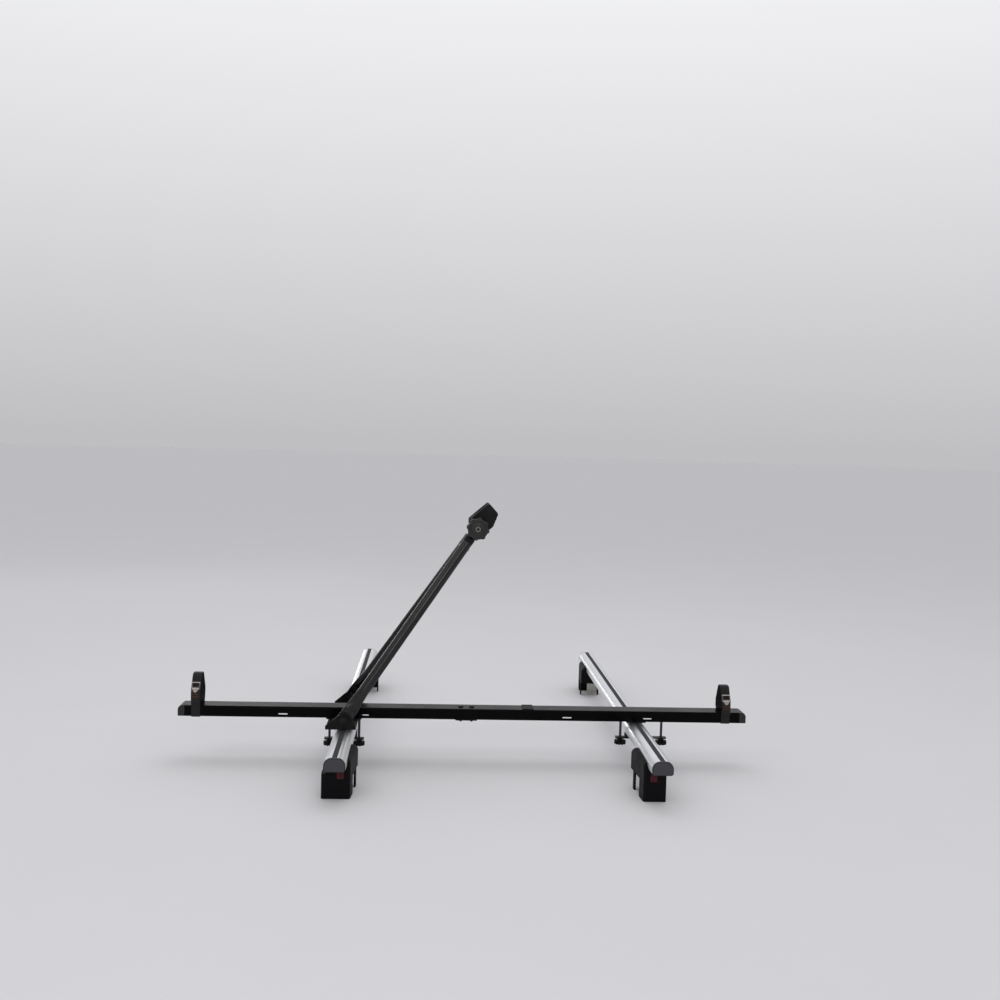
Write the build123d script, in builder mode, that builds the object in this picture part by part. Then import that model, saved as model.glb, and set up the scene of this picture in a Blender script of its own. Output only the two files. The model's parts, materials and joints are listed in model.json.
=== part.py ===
from build123d import *
from math import cos, radians, sin, sqrt
import os

# Driving dimensions in millimetres and degrees. X runs along the wheel rail, Y along the crossbars and Z
# is up from the plane that the feet stand on. Y is zero at the middle of the crossbars.
overrun = 2.0
running_gap = 0.3
bore_gap = 0.05

# Crossbars
bar_length = 1240.0
bar_width = 46.0
bar_height = 30.0
bar_wall = 2.0
bar_axis_z = 88.0
bar_front_x = -280.0
bar_rear_x = 409.0
bar_shoulder_z = -2.0
bar_corner_radius = 4.0
crest_half_width = 9.0
strip_width = 11.0
strip_depth = 4.0
bar_cap_thickness = 5.0
bar_cap_plug_length = 10.0
bar_cap_round = 2.0
bar_cap_bows = (0.0, 0.6, 0.9, 1.0)
plug_gap = 0.2

# Wheel rail, an upturned C with its lips below
rail_length = 1350.0
rail_width = 50.0
rail_height = 25.0
rail_wall = 2.0
rail_lip = 8.0
rail_corner_radius = 3.0
rail_y = -266.0
rail_seam_x = 28.5
rail_cap_thickness = 16.0
rail_cap_plug_length = 12.0
rail_cap_round = 11.0
slot_length = 22.0
slot_width = 3.0
slot_height = 7.5
slot_xs = (-430.0, -240.0, 242.0, 434.5)

# Joint between the rail halves
joiner_front_x = -36.0
joiner_rear_x = 104.0
joiner_wall = 2.0
joiner_depth = 18.0
joiner_plate_length = 52.0
joiner_plate_width = 46.0
joiner_plate_thickness = 3.0
joiner_plate_round = 3.0
joiner_bolt_xs = (-11.5, 14.6)
joiner_bolt_radius = 3.0
joiner_head_radius = 6.0
joiner_head_height = 3.2
head_round_share = 0.6
joiner_nut_across = 10.0
joiner_nut_height = 5.0
joiner_bolt_proud = 2.0

# Pad where the folded arm rests
rest_pad_x = 148.5
rest_pad_length = 26.0
rest_pad_width = 46.0
rest_pad_thickness = 2.0
rest_pad_round = 2.0

# Arm
arm_pivot_x = -280.3
arm_pivot_rise = 19.5
arm_length = 527.9
arm_angle = 55.75
leg_spread_low = 115.2
leg_spread_high = 17.6
leg_radius = 12.25
leg_wall = 2.0
leg_flat_thickness = 8.0
leg_flat_radius = 16.0
leg_flat_length = 26.0
leg_round_start = 78.0
leg_flat_round = 3.5
pivot_radius = 5.0
bush_wall = 2.0
pivot_head_across = 16.0
pivot_head_height = 6.0
pivot_nut_height = 7.0
pivot_bolt_proud = 2.0

# Base bracket on the front crossbar
bracket_centre_x = -287.5
bracket_wing_width = 69.0
bracket_plate_width = 84.0
bracket_plate_depth = 56.0
bracket_thickness = 3.0
ear_radius = 16.0
ear_foot_height = 8.0

# Yoke between the legs' upper ends and the head's bolt
yoke_eye_radius = 9.5
yoke_eye_half_width = 12.0
yoke_block_start = 40.0
yoke_block_end = 28.5
yoke_neck_half = 8.0
yoke_stub_length = 30.0

# Head: two jaws on one bolt, either side of a frame tube
tube_slope = 56.6
head_bolt_radius = 4.0
grip_radius = 20.0
grip_offset = 30.0
pad_thickness = 2.5
jaw_outer_half = 34.0
jaw_lip_start = 4.0
jaw_inner_gap = 0.3
jaw_lug_radius = 20.0
jaw_lip_edge = 51.0
guide_offset_v = -22.0
guide_offset_u = -2.0
guide_radius = 3.0
guide_lug_radius = 7.0
guide_inset = 3.0
jaw_corner_top = (50.0, -31.0)
jaw_corner_right = (53.0, -6.0)
jaw_corner_low = (30.0, 8.0)
jaw_corner_radii = (5.0, 6.0, 8.0)
pad_start_v = -32.0
pad_end_v = 8.0
pad_edge = 13.0
jaw_edge_round = 1.5
bolt_head_radius = 9.0
bolt_head_height = 5.0
knob_radius = 27.0
knob_height = 24.0
knob_lobes = 8
knob_lobe_radius = 6.0
knob_bolt_depth = 15.0
knob_round = 2.0
lock_radius = 6.0
lock_depth = 8.0
lock_proud = 0.6
keyway_length = 6.0
keyway_width = 1.4
keyway_depth = 3.0

# Clamps under the crossbars
clamp_bolt_radius = 3.0
t_head_length = 42.0
t_head_width = 14.0
t_head_height = 4.0
clamp_plate_thickness = 3.0
clamp_plate_depth = 16.0
clamp_plate_end = 12.0
clamp_block_depth = 14.0
front_bolt_half = 35.0
front_plate_z = 50.0
rear_bolt_centre_x = 425.0
rear_bolt_half = 49.7
rear_plate_z = 61.0
star_radius = 14.0
star_lobes = 5
star_lobe_radius = 2.8
star_height = 9.0
star_hub_radius = 6.5
star_hub_height = 5.0
star_bolt_proud = 3.0
rear_pad_depth = 46.0

# Wheel straps and their buckles
strap_xs = (-632.5, 624.0)
strap_top_heights = (205.0, 193.0)
strap_width = 21.0
strap_thickness = 1.5
strap_clearance = 0.3
strap_bulge_half = 31.0
strap_rim_half = 14.0
strap_crown_half = 9.0
strap_crown_drop = 6.0
strap_shoulder_drop = 39.0
strap_waist_drop = 55.0
strap_corner_radius = 0.7
strap_bulge_radius = 9.0
strap_crown_radius = 4.0
buckle_place_share = 0.19
buckle_width = 20.0
buckle_frame_height = 16.0
buckle_thickness = 2.4
buckle_window_width = 14.0
buckle_window_height = 10.5
buckle_ear_height = 6.0
buckle_ear_width = 2.0
tongue_pin_radius = 1.2
tongue_barrel_radius = 2.2
tongue_width = 16.0
tongue_tip_width = 5.0
tongue_length = 9.5
tongue_thickness = 1.6

# Feet
foot_inset = 55.0
foot_length = 124.0
foot_outer_half = 30.0
foot_inner_half = 38.0
foot_back_halves = {"front": 32.0, "rear": 20.0}
foot_shoulder_z = 54.0
cheek_start = 96.0
cheek_low = 40.0
foot_wall = 4.0
foot_top_round = 14.0
foot_edge_round = 5.0
foot_roof = 7.0
saddle_gap = 0.2
groove_start = 40.0
groove_end = 84.0
groove_height = 40.0
foot_pad_thickness = 3.0
foot_pad_width = 38.0
jaw_plate_start = 88.0
jaw_plate_thickness = 4.0
jaw_plate_width = 30.0
jaw_plate_low = 5.0
jaw_plate_high = 64.0
jaw_hook_length = 10.0
jaw_hook_height = 4.0
foot_jaw_travel = 12.0
foot_screw_z = 54.0
foot_screw_radius = 4.0
foot_screw_head_radius = 6.5
foot_screw_head_length = 8.0
foot_screw_socket_radius = 3.0
foot_screw_socket_depth = 4.0
foot_screw_spare = 8.0
insert_z = 52.0
insert_offset = 9.0
insert_width = 15.0
insert_height = 16.0
insert_face = 2.5
insert_spigot_radius = 6.0
insert_spigot_length = 7.5
insert_tab_length = 16.0
insert_tab_width = 6.0
insert_tab_thickness = 2.0
insert_round = 2.5

# Levels and places that follow from the sizes above
bar_half = bar_length / 2
bar_tube_half = bar_half - bar_cap_thickness
foot_outer_y = bar_half - foot_inset
bar_top = bar_axis_z + bar_height / 2
bar_bottom = bar_axis_z - bar_height / 2
bracket_bottom = bar_top + running_gap
rail_bottom = bracket_bottom + bracket_thickness
rail_top = rail_bottom + rail_height
rail_half = rail_length / 2
pivot_z = rail_bottom + arm_pivot_rise
head_angle = 90.0 - tube_slope
bore_radius = clamp_bolt_radius + running_gap


def across_plane(x, y, z):
    """A plane whose sketch is seen from the near side: X right, Z up, extruded towards the near side."""
    return Plane((x, y, z), x_dir=(1, 0, 0), z_dir=(0, -1, 0))


def along_plane(x, y, z):
    """A plane across the rail: Y right, Z up, extruded towards the rear."""
    return Plane((x, y, z), x_dir=(0, 1, 0), z_dir=(1, 0, 0))


def level_plane(x, y, z):
    """A level plane, extruded upwards."""
    return Plane((x, y, z))


def finish(piece, name):
    """Labels a finished piece and writes its file."""
    piece.label = name
    export_step(piece, f"parts/{name}.step")


os.makedirs("parts", exist_ok=True)


# Crossbars: extruded aluminium with a domed top and a slot for the rubber strip
def bar_outline(inset, mode=Mode.ADD):
    """The bar's section about its own axis, drawn smaller by inset."""
    half = bar_width / 2 - inset
    low = -bar_height / 2 + inset
    high = bar_height / 2 - inset
    corner = max(bar_corner_radius - inset, bar_wall)
    with BuildLine() as outline:
        Polyline(
            (half, bar_shoulder_z),
            (half, low + corner),
            (half - corner, low),
            (corner - half, low),
            (-half, low + corner),
            (-half, bar_shoulder_z),
        )
        TangentArc((-half, bar_shoulder_z), (-crest_half_width, high), tangent=(0, 1))
        Line((-crest_half_width, high), (crest_half_width, high))
        TangentArc((half, bar_shoulder_z), (crest_half_width, high), tangent=(0, 1))
    make_face(outline.edges(), mode=mode)


channel_width = strip_width + 2 * bar_wall
channel_depth = strip_depth + bar_wall
bar_xs = {"front": bar_front_x, "rear": bar_rear_x}

for end, x in bar_xs.items():
    with BuildPart() as crossbar:
        with BuildSketch(across_plane(x, 0, bar_axis_z)):
            bar_outline(0)
            bar_outline(bar_wall, Mode.SUBTRACT)
            with Locations((0, bar_height / 2)):
                Rectangle(channel_width, channel_depth, align=(Align.CENTER, Align.MAX))
                Rectangle(strip_width, strip_depth, align=(Align.CENTER, Align.MAX), mode=Mode.SUBTRACT)
        extrude(amount=bar_tube_half, both=True)
    finish(crossbar.part, f"crossbar_{end}")

with BuildPart() as bar_strips:
    for x in bar_xs.values():
        with BuildSketch(across_plane(x, 0, bar_top - strip_depth)):
            Rectangle(strip_width, strip_depth, align=(Align.CENTER, Align.MIN))
        extrude(amount=bar_tube_half, both=True)
finish(bar_strips.part, "bar_strips")

with BuildPart() as bar_end_caps:
    for x in bar_xs.values():
        for side in (-1, 1):
            rim_start = bar_half - bar_cap_round
            with BuildSketch(across_plane(x, max(side * bar_tube_half, side * rim_start), bar_axis_z)):
                bar_outline(0)
            extrude(amount=bar_cap_thickness - bar_cap_round)
            for bow in bar_cap_bows:
                with BuildSketch(across_plane(x, side * (rim_start + bow * bar_cap_round), bar_axis_z)):
                    bar_outline(bar_cap_round * (1 - sqrt(1 - bow * bow)))
            loft(ruled=True)
            plug_start = bar_tube_half if side > 0 else bar_cap_plug_length - bar_tube_half
            with BuildSketch(across_plane(x, plug_start, bar_axis_z)):
                bar_outline(bar_wall + plug_gap)
                with Locations((0, bar_height / 2)):
                    Rectangle(
                        channel_width + 2 * plug_gap,
                        channel_depth + plug_gap,
                        align=(Align.CENTER, Align.MAX),
                        mode=Mode.SUBTRACT,
                    )
            extrude(amount=bar_cap_plug_length)
finish(bar_end_caps.part, "bar_end_caps")


# Wheel rail: two rolled steel halves
def rail_section():
    """The rail's C, open below between its two lips."""
    Rectangle(rail_width, rail_height, align=(Align.CENTER, Align.MIN))
    with Locations((0, rail_wall)):
        Rectangle(
            rail_width - 2 * rail_wall,
            rail_height - 2 * rail_wall,
            align=(Align.CENTER, Align.MIN),
            mode=Mode.SUBTRACT,
        )
    Rectangle(rail_opening, 2 * rail_wall, mode=Mode.SUBTRACT)


rail_opening = rail_width - 2 * rail_lip
rail_spans = {
    "front": (rail_cap_thickness - rail_half, rail_seam_x),
    "rear": (rail_seam_x, rail_half - rail_cap_thickness),
}
for end, (start, stop) in rail_spans.items():
    with BuildPart() as rail:
        with BuildSketch(along_plane(start, rail_y, rail_bottom)):
            rail_section()
        extrude(amount=stop - start)
        fillet(
            rail.edges().filter_by(Axis.X).group_by(Axis.Z)[-1],
            rail_corner_radius,
        )
        for x in slot_xs:
            if start < x < stop:
                with BuildSketch(across_plane(x, rail_y, rail_bottom + slot_height)):
                    SlotOverall(slot_length, slot_width)
                extrude(amount=rail_width, both=True, mode=Mode.SUBTRACT)
        for x in joiner_bolt_xs:
            if start < x < stop:
                with BuildSketch(level_plane(x, rail_y, rail_top)):
                    Circle(joiner_bolt_radius + bore_gap)
                extrude(amount=2 * rail_wall, both=True, mode=Mode.SUBTRACT)
    finish(rail.part, f"rail_{end}_half")

# Sleeve inside both halves, a plate under their lips, and the bolts and nuts through all
joiner_top = rail_top - rail_wall
with BuildPart() as rail_joiner:
    with BuildSketch(along_plane(joiner_front_x, rail_y, joiner_top)):
        Rectangle(
            rail_width - 2 * rail_wall - 2 * plug_gap, joiner_depth, align=(Align.CENTER, Align.MAX)
        )
        with Locations((0, -joiner_wall)):
            Rectangle(
                rail_width - 2 * rail_wall - 2 * plug_gap - 2 * joiner_wall,
                joiner_depth,
                align=(Align.CENTER, Align.MAX),
                mode=Mode.SUBTRACT,
            )
    extrude(amount=joiner_rear_x - joiner_front_x)
    chamfer(
        rail_joiner.edges().filter_by(Axis.X).group_by(Axis.Z)[-1],
        joiner_wall,
    )
    for x in joiner_bolt_xs:
        with BuildSketch(level_plane(x, rail_y, joiner_top)):
            Circle(joiner_bolt_radius + bore_gap)
        extrude(amount=2 * joiner_wall, both=True, mode=Mode.SUBTRACT)
finish(rail_joiner.part, "rail_joiner")

joiner_plate_bottom = rail_bottom - joiner_plate_thickness
joiner_centre_x = sum(joiner_bolt_xs) / 2
with BuildPart() as joiner_plate:
    with BuildSketch(level_plane(joiner_centre_x, rail_y, joiner_plate_bottom)):
        RectangleRounded(joiner_plate_length, joiner_plate_width, joiner_plate_round)
    extrude(amount=joiner_plate_thickness)
    for x in joiner_bolt_xs:
        with BuildSketch(level_plane(x, rail_y, rail_bottom)):
            Circle(joiner_bolt_radius + bore_gap)
        extrude(amount=2 * joiner_plate_thickness, both=True, mode=Mode.SUBTRACT)
finish(joiner_plate.part, "joiner_plate")

joiner_bolt_end = joiner_plate_bottom - joiner_nut_height - joiner_bolt_proud
with BuildPart() as joiner_fasteners:
    for x in joiner_bolt_xs:
        with BuildSketch(level_plane(x, rail_y, joiner_bolt_end)):
            Circle(joiner_bolt_radius)
        extrude(amount=rail_top - joiner_bolt_end)
        with BuildSketch(level_plane(x, rail_y, rail_top)):
            Circle(joiner_head_radius)
        extrude(amount=joiner_head_height)
        head_faces = joiner_fasteners.faces().filter_by_position(
            Axis.X, x - joiner_head_radius, x + joiner_head_radius
        )
        fillet(head_faces.sort_by(Axis.Z)[-1].edges(), joiner_head_height * head_round_share)
        with BuildSketch(level_plane(x, rail_y, joiner_plate_bottom - joiner_nut_height)):
            RegularPolygon(joiner_nut_across / 2, 6, major_radius=False)
            Circle(joiner_bolt_radius + bore_gap, mode=Mode.SUBTRACT)
        extrude(amount=joiner_nut_height)
finish(joiner_fasteners.part, "joiner_fasteners")

# End caps pressed into the rail's ends
with BuildPart() as rail_end_caps:
    for cap_start, plug_start in (
        (-rail_half, rail_cap_thickness - rail_half),
        (rail_half - rail_cap_thickness, rail_half - rail_cap_thickness - rail_cap_plug_length),
    ):
        with BuildSketch(along_plane(cap_start, rail_y, rail_bottom)):
            Rectangle(rail_width, rail_height, align=(Align.CENTER, Align.MIN))
        extrude(amount=rail_cap_thickness)
        with BuildSketch(along_plane(plug_start, rail_y, rail_bottom + rail_wall + plug_gap)):
            Rectangle(
                rail_width - 2 * rail_wall - 2 * plug_gap,
                rail_height - 2 * rail_wall - 2 * plug_gap,
                align=(Align.CENTER, Align.MIN),
            )
        extrude(amount=rail_cap_plug_length)
    top_edges = rail_end_caps.edges().group_by(Axis.Z)[-1].sort_by(Axis.X)
    fillet((top_edges[0], top_edges[-1]), rail_cap_round)
    fillet(rail_end_caps.edges().filter_by(GeomType.CIRCLE), rail_corner_radius)
finish(rail_end_caps.part, "rail_end_caps")

with BuildPart() as arm_rest_pad:
    with BuildSketch(level_plane(rest_pad_x, rail_y, rail_top)):
        RectangleRounded(
            rest_pad_length, min(rest_pad_width, rail_width - 2 * rail_corner_radius), rest_pad_round
        )
    extrude(amount=rest_pad_thickness)
finish(arm_rest_pad.part, "arm_rest_pad")


# Base bracket: a pressed steel plate with an ear turned up at each side
ear_inner_offset = leg_spread_low + leg_flat_thickness / 2 + running_gap
ear_outer_offset = ear_inner_offset + bracket_thickness
front_bolt_xs = (bracket_centre_x - front_bolt_half, bracket_centre_x + front_bolt_half)
rear_bolt_xs = (rear_bolt_centre_x - rear_bolt_half, rear_bolt_centre_x + rear_bolt_half)

with BuildPart() as base_bracket:
    with BuildSketch(level_plane(bracket_centre_x, rail_y, bracket_bottom)):
        Rectangle(bracket_wing_width, 2 * ear_outer_offset)
        RectangleRounded(bracket_plate_width, bracket_plate_depth, ear_foot_height)
        with Locations((-front_bolt_half, 0), (front_bolt_half, 0)):
            Circle(bore_radius, mode=Mode.SUBTRACT)
    extrude(amount=bracket_thickness)
    for ear_start in (ear_outer_offset, -ear_inner_offset):
        with BuildSketch(across_plane(arm_pivot_x, rail_y + ear_start, pivot_z)):
            Circle(ear_radius)
            with Locations((bracket_centre_x - arm_pivot_x, bracket_bottom - pivot_z)):
                Rectangle(bracket_wing_width, ear_foot_height, align=(Align.CENTER, Align.MIN))
            make_hull()
            Circle(pivot_radius + bore_gap, mode=Mode.SUBTRACT)
        extrude(amount=bracket_thickness)
finish(base_bracket.part, "base_bracket")

# Pivot bolts with their nuts, and the bushes that the legs turn on
leg_inner_offset = leg_spread_low - leg_flat_thickness / 2
nut_outer_offset = leg_inner_offset - running_gap
nut_inner_offset = nut_outer_offset - pivot_nut_height
bolt_inner_offset = nut_inner_offset - pivot_bolt_proud


def pivot_stack(outer, inner, profile, side):
    """Extrudes a profile about the arm's pivot between two distances from the rail's middle plane."""
    start = outer if side > 0 else -inner
    with BuildSketch(across_plane(arm_pivot_x, rail_y + start, pivot_z)) as section:
        profile()
    extrude(section.sketch, amount=outer - inner)


def pivot_nut_profile():
    RegularPolygon(pivot_head_across / 2, 6, major_radius=False)
    Circle(pivot_radius + bore_gap, mode=Mode.SUBTRACT)


with BuildPart() as pivot_fasteners:
    for side in (-1, 1):
        pivot_stack(ear_outer_offset, bolt_inner_offset, lambda: Circle(pivot_radius), side)
        pivot_stack(
            ear_outer_offset + pivot_head_height,
            ear_outer_offset,
            lambda: RegularPolygon(pivot_head_across / 2, 6, major_radius=False),
            side,
        )
        pivot_stack(nut_outer_offset, nut_inner_offset, pivot_nut_profile, side)
finish(pivot_fasteners.part, "pivot_fasteners")


def bush_profile():
    Circle(pivot_radius + bush_wall)
    Circle(pivot_radius + bore_gap, mode=Mode.SUBTRACT)


with BuildPart() as pivot_bushes:
    for side in (-1, 1):
        pivot_stack(ear_inner_offset, nut_outer_offset, bush_profile, side)
finish(pivot_bushes.part, "pivot_bushes")


# Arm: two steel tubes that lean together, pressed flat where they turn on the bushes
arm_cos = cos(radians(arm_angle))
arm_sin = sin(radians(arm_angle))
arm_dir = Vector(arm_cos, 0, arm_sin)


def arm_point(u, v):
    """A point u along the arm from its pivot and v across it from the rail's middle plane."""
    return Vector(arm_pivot_x + u * arm_cos, rail_y + v, pivot_z + u * arm_sin)


yoke_low = arm_length - yoke_block_start
yoke_high = arm_length - yoke_block_end
legs = {"near": -1, "far": 1}
for name, side in legs.items():
    low = arm_point(0, side * leg_spread_low)
    high = arm_point(arm_length, side * leg_spread_high)
    leg_dir = (high - low).normalized()
    flat_plane = Plane(arm_point(leg_flat_length, side * leg_spread_low), x_dir=(0, 1, 0), z_dir=arm_dir)
    round_plane = Plane(low + leg_dir * leg_round_start, x_dir=(0, 1, 0), z_dir=leg_dir)
    cut_plane = Plane(arm_point(yoke_low, 0), x_dir=(0, 1, 0), z_dir=arm_dir)
    with BuildPart() as leg:
        with BuildSketch(flat_plane):
            RectangleRounded(leg_flat_thickness, 2 * leg_flat_radius, leg_flat_round)
        with BuildSketch(round_plane):
            Circle(leg_radius)
        loft()
        with BuildSketch(round_plane):
            Circle(leg_radius)
            Circle(leg_radius - leg_wall, mode=Mode.SUBTRACT)
        extrude(amount=arm_length - leg_round_start)
        split(bisect_by=cut_plane, keep=Keep.BOTTOM)
        pivot_side = side * leg_spread_low + leg_flat_thickness / 2
        with BuildSketch(
            Plane(arm_point(0, pivot_side), x_dir=arm_dir, z_dir=(0, -1, 0))
        ):
            Circle(leg_flat_radius)
            Rectangle(
                leg_flat_length, 2 * leg_flat_radius, align=(Align.MIN, Align.CENTER)
            )
        extrude(amount=leg_flat_thickness)
        with BuildSketch(across_plane(arm_pivot_x, rail_y + pivot_side, pivot_z)):
            Circle(pivot_radius + bush_wall + bore_gap)
        extrude(amount=leg_flat_thickness, mode=Mode.SUBTRACT)
    finish(leg.part, f"arm_leg_{name}")

# Yoke: a casting plugged into both legs, with the eye that the head turns on
yoke_block_half = leg_spread_high + leg_radius + (leg_spread_low - leg_spread_high) * (
    yoke_block_start / arm_length
)
eye_point = arm_point(arm_length, 0)
with BuildPart() as arm_yoke:
    with BuildSketch(Plane(arm_point(yoke_low, 0), x_dir=(0, 1, 0), z_dir=arm_dir)):
        SlotOverall(2 * yoke_block_half, 2 * leg_radius)
    extrude(amount=yoke_high - yoke_low)
    with BuildSketch(Plane(arm_point(yoke_high, 0), x_dir=(0, 1, 0), z_dir=arm_dir)):
        Rectangle(2 * yoke_eye_half_width, 2 * yoke_neck_half)
    extrude(amount=yoke_block_end)
    with BuildSketch(across_plane(eye_point.X, rail_y, eye_point.Z)):
        Circle(yoke_eye_radius)
    extrude(amount=yoke_eye_half_width, both=True)
    for side in legs.values():
        low = arm_point(0, side * leg_spread_low)
        high = arm_point(arm_length, side * leg_spread_high)
        leg_dir = (high - low).normalized()
        entry = low + leg_dir * ((high - low).length * yoke_high / arm_length)
        with BuildSketch(Plane(entry, x_dir=(0, 1, 0), z_dir=-leg_dir)):
            Circle(leg_radius - leg_wall - bore_gap)
        extrude(amount=yoke_stub_length)
    with BuildSketch(across_plane(eye_point.X, rail_y, eye_point.Z)):
        Circle(head_bolt_radius + bore_gap)
    extrude(amount=2 * yoke_eye_half_width, both=True, mode=Mode.SUBTRACT)
finish(arm_yoke.part, "arm_yoke")

# Head: u points from the bolt to the frame tube's axis and v runs down along the tube
u_dir = Vector(cos(radians(head_angle)), 0, sin(radians(head_angle)))
v_dir = Vector(sin(radians(head_angle)), 0, -cos(radians(head_angle)))


def head_plane(y):
    """A plane square to the bolt, y from the rail's middle plane, extruded towards the near side."""
    return Plane((eye_point.X, rail_y + y, eye_point.Z), x_dir=u_dir, z_dir=(0, -1, 0))


def jaw_profile():
    """The outline of both jaws. The sketch's second axis points up the tube, against v."""
    Circle(jaw_lug_radius)
    with Locations((guide_offset_u, -guide_offset_v)):
        Circle(guide_lug_radius)
    for (u, v), radius in zip((jaw_corner_top, jaw_corner_right, jaw_corner_low), jaw_corner_radii):
        with Locations((u, -v)):
            Circle(radius)
    make_hull()


def tube_plane(v):
    """A plane across the frame tube at v, extruded down along it."""
    place = eye_point + u_dir * grip_offset + v_dir * v
    return Plane(place, x_dir=(0, 1, 0), z_dir=v_dir)


grip_bore = grip_radius + pad_thickness
tube_reach = jaw_lip_edge + jaw_lug_radius
jaw_inner = yoke_eye_half_width + jaw_inner_gap
jaws = {"near": (-jaw_lip_start, -1), "far": (jaw_outer_half, 1)}
for name, (start, side) in jaws.items():
    with BuildPart() as jaw:
        with BuildSketch(head_plane(start)):
            jaw_profile()
        extrude(amount=jaw_outer_half - jaw_lip_start)
        fillet(
            jaw.faces().sort_by(Axis.Y)[-1 if side > 0 else 0].edges(),
            jaw_edge_round,
        )
        inner_high = jaw_inner if side > 0 else -jaw_lip_start
        with BuildSketch(head_plane(inner_high)):
            with Locations((jaw_lip_edge, 0)):
                Rectangle(2 * tube_reach, 2 * tube_reach, align=(Align.MAX, Align.CENTER))
        extrude(amount=jaw_inner - jaw_lip_start, mode=Mode.SUBTRACT)
        with BuildSketch(tube_plane(-tube_reach)):
            Circle(grip_bore)
        extrude(amount=2 * tube_reach, mode=Mode.SUBTRACT)
        with BuildSketch(head_plane(jaw_outer_half)):
            Circle(head_bolt_radius + bore_gap)
        extrude(amount=2 * jaw_outer_half, mode=Mode.SUBTRACT)
        if side < 0:
            with BuildSketch(head_plane(jaw_outer_half)):
                with Locations((guide_offset_u, -guide_offset_v)):
                    Circle(guide_radius + bore_gap)
            extrude(amount=2 * jaw_outer_half, mode=Mode.SUBTRACT)
        else:
            with BuildSketch(head_plane(jaw_inner)):
                with Locations((guide_offset_u, -guide_offset_v)):
                    Circle(guide_radius)
            extrude(amount=jaw_inner + jaw_outer_half - guide_inset)
    finish(jaw.part, f"{name}_jaw")

    with BuildPart() as liner:
        with BuildSketch(tube_plane(pad_start_v)):
            Circle(grip_bore - bore_gap)
            Circle(grip_radius, mode=Mode.SUBTRACT)
            with Locations((side * pad_edge, 0)):
                Rectangle(
                    grip_bore,
                    2 * grip_bore,
                    align=(Align.MIN if side > 0 else Align.MAX, Align.CENTER),
                    mode=Mode.INTERSECT,
                )
        extrude(amount=pad_end_v - pad_start_v)
    finish(liner.part, f"jaw_pad_{name}")

knob_start = -(jaw_outer_half + running_gap)
knob_end = knob_start - knob_height
with BuildPart() as clamp_bolt:
    with BuildSketch(head_plane(jaw_outer_half)):
        Circle(head_bolt_radius)
    extrude(amount=jaw_outer_half - knob_start + knob_bolt_depth - running_gap)
    with BuildSketch(head_plane(jaw_outer_half + bolt_head_height)):
        Circle(bolt_head_radius)
    extrude(amount=bolt_head_height)
    fillet(clamp_bolt.faces().sort_by(Axis.Y)[-1].edges(), bolt_head_height / 2)
finish(clamp_bolt.part, "clamp_bolt")

with BuildPart() as hand_knob:
    with BuildSketch(head_plane(knob_start)):
        Circle(knob_radius - knob_lobe_radius / 2)
        with PolarLocations(knob_radius - knob_lobe_radius, knob_lobes):
            Circle(knob_lobe_radius)
    extrude(amount=knob_height)
    fillet(hand_knob.faces().sort_by(Axis.Y)[0].edges(), knob_round)
    with BuildSketch(head_plane(knob_start)):
        Circle(head_bolt_radius + bore_gap)
    extrude(amount=knob_bolt_depth, mode=Mode.SUBTRACT)
    with BuildSketch(head_plane(knob_end + lock_depth)):
        Circle(lock_radius + bore_gap)
    extrude(amount=lock_depth, mode=Mode.SUBTRACT)
finish(hand_knob.part, "hand_knob")

with BuildPart() as knob_lock:
    with BuildSketch(head_plane(knob_end + lock_depth - bore_gap)):
        Circle(lock_radius)
    extrude(amount=lock_depth + lock_proud)
    with BuildSketch(head_plane(knob_end - lock_proud + keyway_depth)):
        Rectangle(keyway_length, keyway_width)
    extrude(amount=keyway_depth, mode=Mode.SUBTRACT)
finish(knob_lock.part, "knob_lock")


# Clamps: T-bolts hang in the rail and draw a plate up against the bar from below
def star_profile():
    Circle(star_hub_radius)
    with PolarLocations(0, star_lobes):
        SlotCenterToCenter(2 * (star_radius - star_lobe_radius), 2 * star_lobe_radius)


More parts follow.
